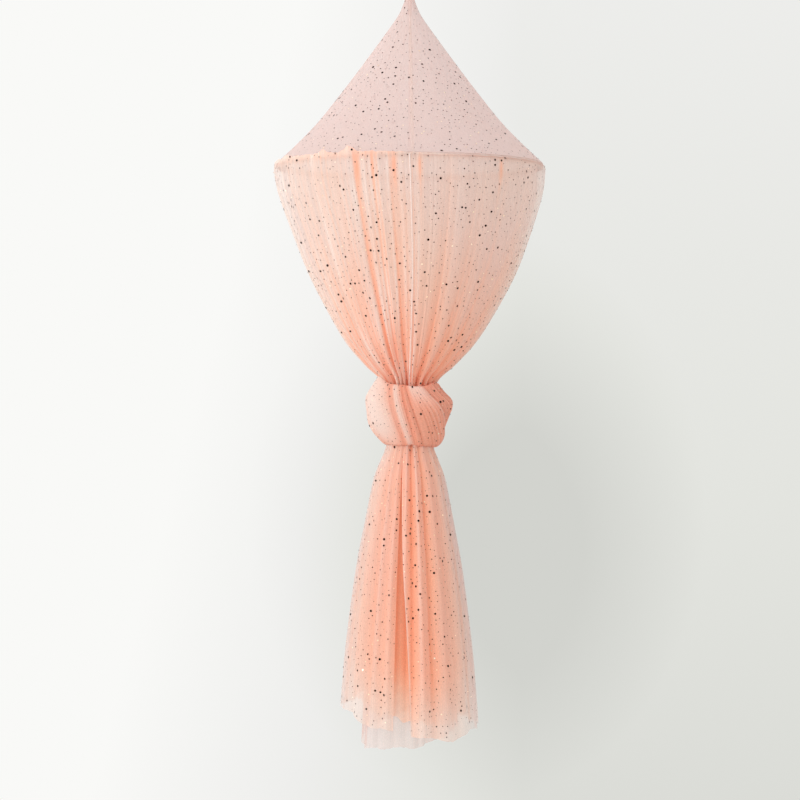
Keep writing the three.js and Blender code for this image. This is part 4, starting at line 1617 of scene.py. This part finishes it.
    def core(self, across: Array, up: Array) -> Array:
        """Returns points of the dense core, the gathered inner layers of the cloth."""
        down, turn = 1 - up, across - 0.5
        radius, height = self.profile(0.955).at(down)
        folded = blend(3 * MM, 9 * MM, down) * self.core_folds.fold(turn)
        inside = blend(14 * MM, 31 * MM, ease(down)) + folded
        drop = (self.hem(turn) * 0.9 + 4 * MM * ripple(turn, (13, 29), seed=14)) * down**3
        return place(turn, radius - inside, height - drop)

    def core_stacking(self, across: Array, up: Array) -> Array:
        """Returns the core's stacking, denser at the front opening as painted light against the shade between
        the leaves, and pale at its own hem.
        """
        thin = sum(side.over(across) for side in self.core_sides) + 0.6 * rising(1 - up, 0.86, 0.13)
        # Denser in the folds' creases, partly as painted shade, and at the front opening as painted light
        return 0.74 + 0.12 * self.core_folds.fold(across - 0.5) + self.open_front.over(across) - thin

    def lining(self, across: Array, up: Array) -> Array:
        """Returns points of the lining, which hangs lower than the tail, most of all at the front left."""
        down, turn = 1 - up, across - 0.5
        radius, height = self.profile().at(down)
        folded = blend(3 * MM, 12 * MM, down) * self.lining_folds.fold(turn)
        inside = blend(20 * MM, 50 * MM, ease(down)) + folded
        lower = 72 * MM * (0.5 + 0.5 * np.cos(2 * math.pi * (turn + 0.1)))
        frayed = 5 * MM * ripple(turn, (3, 5, 9), seed=15) + 0.5 * MM * ripple(turn, (43, 61), seed=16)
        return place(turn, radius - inside, height - (lower + frayed) * down**3)

    def lining_stacking(self, across: Array, up: Array) -> Array:
        """Returns the lining's stacking, pale where it hangs free."""
        return 0.85 - 0.7 * ease((0.9 - up) / 0.95)

    def build(self, plain: Material, foil: FoilPrint) -> None:
        """Builds the outer cloth, the core and the lining.

        Args:
            plain: The plain net of the lining.
            foil: The foil print.
        """
        cloth = HungCloth("tail_cloth", self.cut, self.surface, self.stacking, self.paleness)
        outer = cloth.build(TAIL_NET.material())
        ride(outer, Body.CANOPY, [f"tail_panel_{side}" for side in QUARTERS])
        foil.press(outer, self.surface, seed=100)
        core = HungCloth("tail_core", self.core_cut, self.core, self.core_stacking).build(CORE_NET.material())
        ride(core, Body.CANOPY)
        lining = HungCloth("tail_lining", self.lining_cut, self.lining, self.lining_stacking).build(plain)
        ride(lining, Body.CANOPY, [f"lining_lower_{side}" for side in QUARTERS])


@dataclass
class Hanger:
    """The wire ring and the woven tape that carries the roof's tip.

    Attributes:
        width: The tape's width.
        thickness: Its thickness.
        bar_height: The middle of the ring's bar.
        bend: The radius that the tape goes round the bar at.
        leg: How far the tape's ends run down inside the roof.
        spread: How far the ends are from the middle at half their length and at their tips.
        roundness: How round the tape's edges are: 1 is round, 0 is square.
        cut: The tape's flat size, front and back together.
    """

    width: float = 10 * MM
    thickness: float = 1.2 * MM
    bar_height: float = -12 * MM
    bend: float = 2.5 * MM
    leg: float = 45 * MM
    spread: tuple[float, float] = (3.2 * MM, 5.0 * MM)
    roundness: float = 0.35
    cut: Cut = Cut(20 * MM, 0.14, columns=32, rows=90, ring=True)

    def loop(self) -> Array:
        """Returns the tape's line in the plane of Y and Z, from one end over the bar to the other."""
        half, end = self.spread
        down = [(-end, TIP_HEIGHT - self.leg), (-half, TIP_HEIGHT - self.leg / 2), (-self.bend, TIP_HEIGHT)]
        angles = np.linspace(0, math.pi, 13)
        over = [(-self.bend * math.cos(a), self.bar_height + self.bend * math.sin(a)) for a in angles]
        return np.array([*down, *over, *((-y, z) for y, z in reversed(down))])

    def surface(self, across: Array, up: Array) -> Array:
        """Returns points of the tape, as a closed band round its own thickness."""
        line = self.loop()
        length = np.concatenate([[0], np.cumsum(np.hypot(*np.diff(line, axis=0).T))])
        share = up * length[-1]
        ahead, behind = np.minimum(share + 0.5 * MM, length[-1]), np.maximum(share - 0.5 * MM, 0)
        (y, z), (y_ahead, z_ahead), (y_behind, z_behind) = (
            (np.interp(spot, length, line[:, 0]), np.interp(spot, length, line[:, 1]))
            for spot in (share, ahead, behind)
        )
        dy, dz = y_ahead - y_behind, z_ahead - z_behind
        size = np.maximum(np.hypot(dy, dz), 1e-9)
        cosine, sine = np.cos(2 * math.pi * across), np.sin(2 * math.pi * across)
        side = self.width / 2 * np.sign(cosine) * np.abs(cosine) ** self.roundness
        off = self.thickness / 2 * np.sign(sine) * np.abs(sine) ** self.roundness
        return np.stack([side, y - dz / size * off, z + dy / size * off], axis=-1)

    def build(self) -> None:
        """Builds the tape and dresses the ring."""
        dress("hanging_ring", Body.HANGER, STEEL.material())
        tape = HungCloth("hanging_tape_cloth", self.cut, self.surface, evenly(0.5)).build(WEBBING.material())
        ride(tape, Body.CANOPY, ["hanging_tape"])


# The studio


@dataclass(frozen=True)
class Lamp:
    """A soft square lamp.

    Attributes:
        name: Its name.
        spot: Where it stands.
        size: The length of its sides.
        power: Its power in watts.
    """

    name: str
    spot: Point
    size: float
    power: float

    def build(self, target: Point) -> None:
        """Adds the lamp, turned to a target."""
        data = bpy.data.lights.new(self.name, "AREA")
        data.size = self.size
        data.energy = self.power
        lamp = bpy.data.objects.new(self.name, data)
        lamp.location = self.spot
        lamp.rotation_euler = (Vector(target) - Vector(self.spot)).to_track_quat("-Z", "Y").to_euler()
        bpy.context.collection.objects.link(lamp)


@dataclass
class Studio:
    """A pale wall and floor, soft light from the left and a level camera.

    Attributes:
        floor_height: The floor's height.
        floor_front: The floor's front edge.
        wall_distance: How far the wall stands behind the canopy.
        wall_top: The wall's upper edge.
        half_width: Half the width of both.
        target: What the lamps point at.
        lamps: The lamps.
        lens: The camera's focal length in millimetres, on a sensor 36 mm wide.
        camera_spot: Where the camera stands.
    """

    floor_height: float = -2.4
    floor_front: float = -3.6
    wall_distance: float = 1.3
    wall_top: float = 1.2
    half_width: float = 3.2
    target: Point = (0, 0, -0.9)
    lamps: Sequence[Lamp] = (
        Lamp("key_lamp", (-2.7, -2.9, 0.3), size=2.2, power=66),
        Lamp("back_lamp", (-1.6, 1.0, -0.4), size=1.2, power=9),
    )
    lens: float = 117.7
    camera_spot: Point = (-0.0233, -6.3, -0.998)

    @staticmethod
    def seen(sheet: NodeSheet) -> Socket:
        """Returns 1 for rays that show a background as it is, and 0 for those that light the canopy."""
        light_path = sheet.add("LightPath").outputs
        straight = sheet.maths("MAXIMUM", light_path["Is Camera Ray"], light_path["Is Glossy Ray"])
        return sheet.maths("MAXIMUM", straight, light_path["Is Transmission Ray"])

    def wall_material(self) -> Material:
        """Returns the wall: matt paint for the light it throws back, and for straight rays a painted fall of
        light, white at the left and a little grey at the right; unseen from behind.
        """
        material, sheet = new_material("matt_wall_paint")
        spot = sheet.add("TexCoord").outputs["Object"]
        parts = sheet.add("SeparateXYZ", {"Vector": spot}).outputs
        # Painted light: the wall is drawn paler at the left and greyer to the right and downwards
        aside = sheet.maths("MINIMUM", sheet.maths("MULTIPLY", parts["X"], 0.6), 0.2)
        below = sheet.maths("MULTIPLY_ADD", parts["Z"], -0.16, -0.16)
        fall = sheet.maths("ADD", sheet.maths("ADD", aside, 0.47), below)
        # A painted soft shadow at the lower right
        around = {"Vector": spot, "Location": (-0.3, 0, 1.6), "Scale": (1.5, 0, 1.2)}
        shade = sheet.add("Mapping", around).outputs["Vector"]
        glow = sheet.add("TexGradient", {"Vector": shade}, gradient_type="SPHERICAL").outputs["Fac"]
        soft = sheet.maths("MULTIPLY_ADD", glow, 0.5, fall)
        tone = sheet.ramp(soft, ((0.1, "f9f9f7"), (0.45, "eeeeec"), (0.72, "e3e4df"), (1.0, "d2d3ce")))
        paint = sheet.add("BsdfDiffuse", {"Color": colour("f0f0ee")}).outputs["BSDF"]
        lit = sheet.add("Emission", {"Color": tone}).outputs["Emission"]
        front = sheet.mix(self.seen(sheet), paint, lit)
        clear = sheet.add("BsdfTransparent").outputs["BSDF"]
        back = sheet.add("NewGeometry").outputs["Backfacing"]
        sheet.add("OutputMaterial", {"Surface": sheet.mix(back, front, clear)})
        return material

    def floor_material(self) -> Material:
        """Returns the floor's finish: pale, matt, and it keeps the shadow."""
        material, sheet = new_material("pale_floor_paint")
        marks = sheet.noise(sheet.add("TexCoord").outputs["Object"], scale=6.0, detail=3.0)
        look = {"Base Color": sheet.ramp(marks, ((0.3, "e6e6e4"), (0.7, "ececea"))), "Roughness": 0.8}
        sheet.add("OutputMaterial", {"Surface": sheet.add("BsdfPrincipled", look).outputs["BSDF"]})
        return material

    def plane(self, name: str, corners: Sequence[Point], finish: Material) -> None:
        """Builds a flat stage piece from its four corners."""
        sides = bmesh.new()
        sides.faces.new([sides.verts.new(corner) for corner in corners])
        add_piece(name, mesh_of(name, sides), finish)

    def camera(self) -> None:
        """Adds the level camera at the photograph's place."""
        data = bpy.data.cameras.new("camera")
        data.lens = self.lens
        data.sensor_width = 36.0
        data.clip_end = 100
        camera = bpy.data.objects.new("camera", data)
        camera.location = self.camera_spot
        camera.rotation_euler = (math.pi / 2, 0, 0)
        bpy.context.collection.objects.link(camera)
        bpy.context.scene.camera = camera

    def world(self) -> None:
        """Lights the studio evenly from all round, with a pale background past the wall."""
        world = bpy.data.worlds.new("studio_air")
        bpy.context.scene.world = world
        world.use_nodes = True
        world.node_tree.nodes.clear()
        sheet = NodeSheet(world.node_tree)
        ambient = sheet.add("Background", {"Color": colour("f7f9fb"), "Strength": 0.98}).outputs["Background"]
        shown = sheet.add("Background", {"Color": colour("efefed"), "Strength": 1.0}).outputs["Background"]
        sheet.add("OutputWorld", {"Surface": sheet.mix(self.seen(sheet), ambient, shown)})

    def build(self) -> None:
        """Builds the stage, the lights, the world and the camera."""
        wide, low, high = self.half_width, self.floor_height, self.wall_top
        front, back = self.floor_front, self.wall_distance
        wall = [(-wide, back, low), (wide, back, low), (wide, back, high), (-wide, back, high)]
        floor = [(-wide, front, low), (wide, front, low), (wide, back, low), (-wide, back, low)]
        self.plane("studio_wall", wall, self.wall_material())
        self.plane("studio_floor", floor, self.floor_material())
        for lamp in self.lamps:
            lamp.build(self.target)
        self.world()
        self.camera()
        bpy.context.scene.view_settings.view_transform = "Standard"


def write_sizes() -> None:
    """Updates the view layer.
    """
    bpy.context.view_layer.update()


def main() -> None:
    """Builds the studio, then the canopy's parts from the ring down."""
    logging.basicConfig(level=logging.INFO, format="%(name)s %(message)s")
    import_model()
    Studio().build()
    foil = FoilPrint.usual()
    plain = LINING_NET.material()
    Hanger().build()
    Hoop().build()
    Roof().build(foil)
    Curtain().build(plain, foil)
    Knot().build(foil)
    Tail().build(plain, foil)
    write_sizes()


if __name__ == "__main__":
    main()
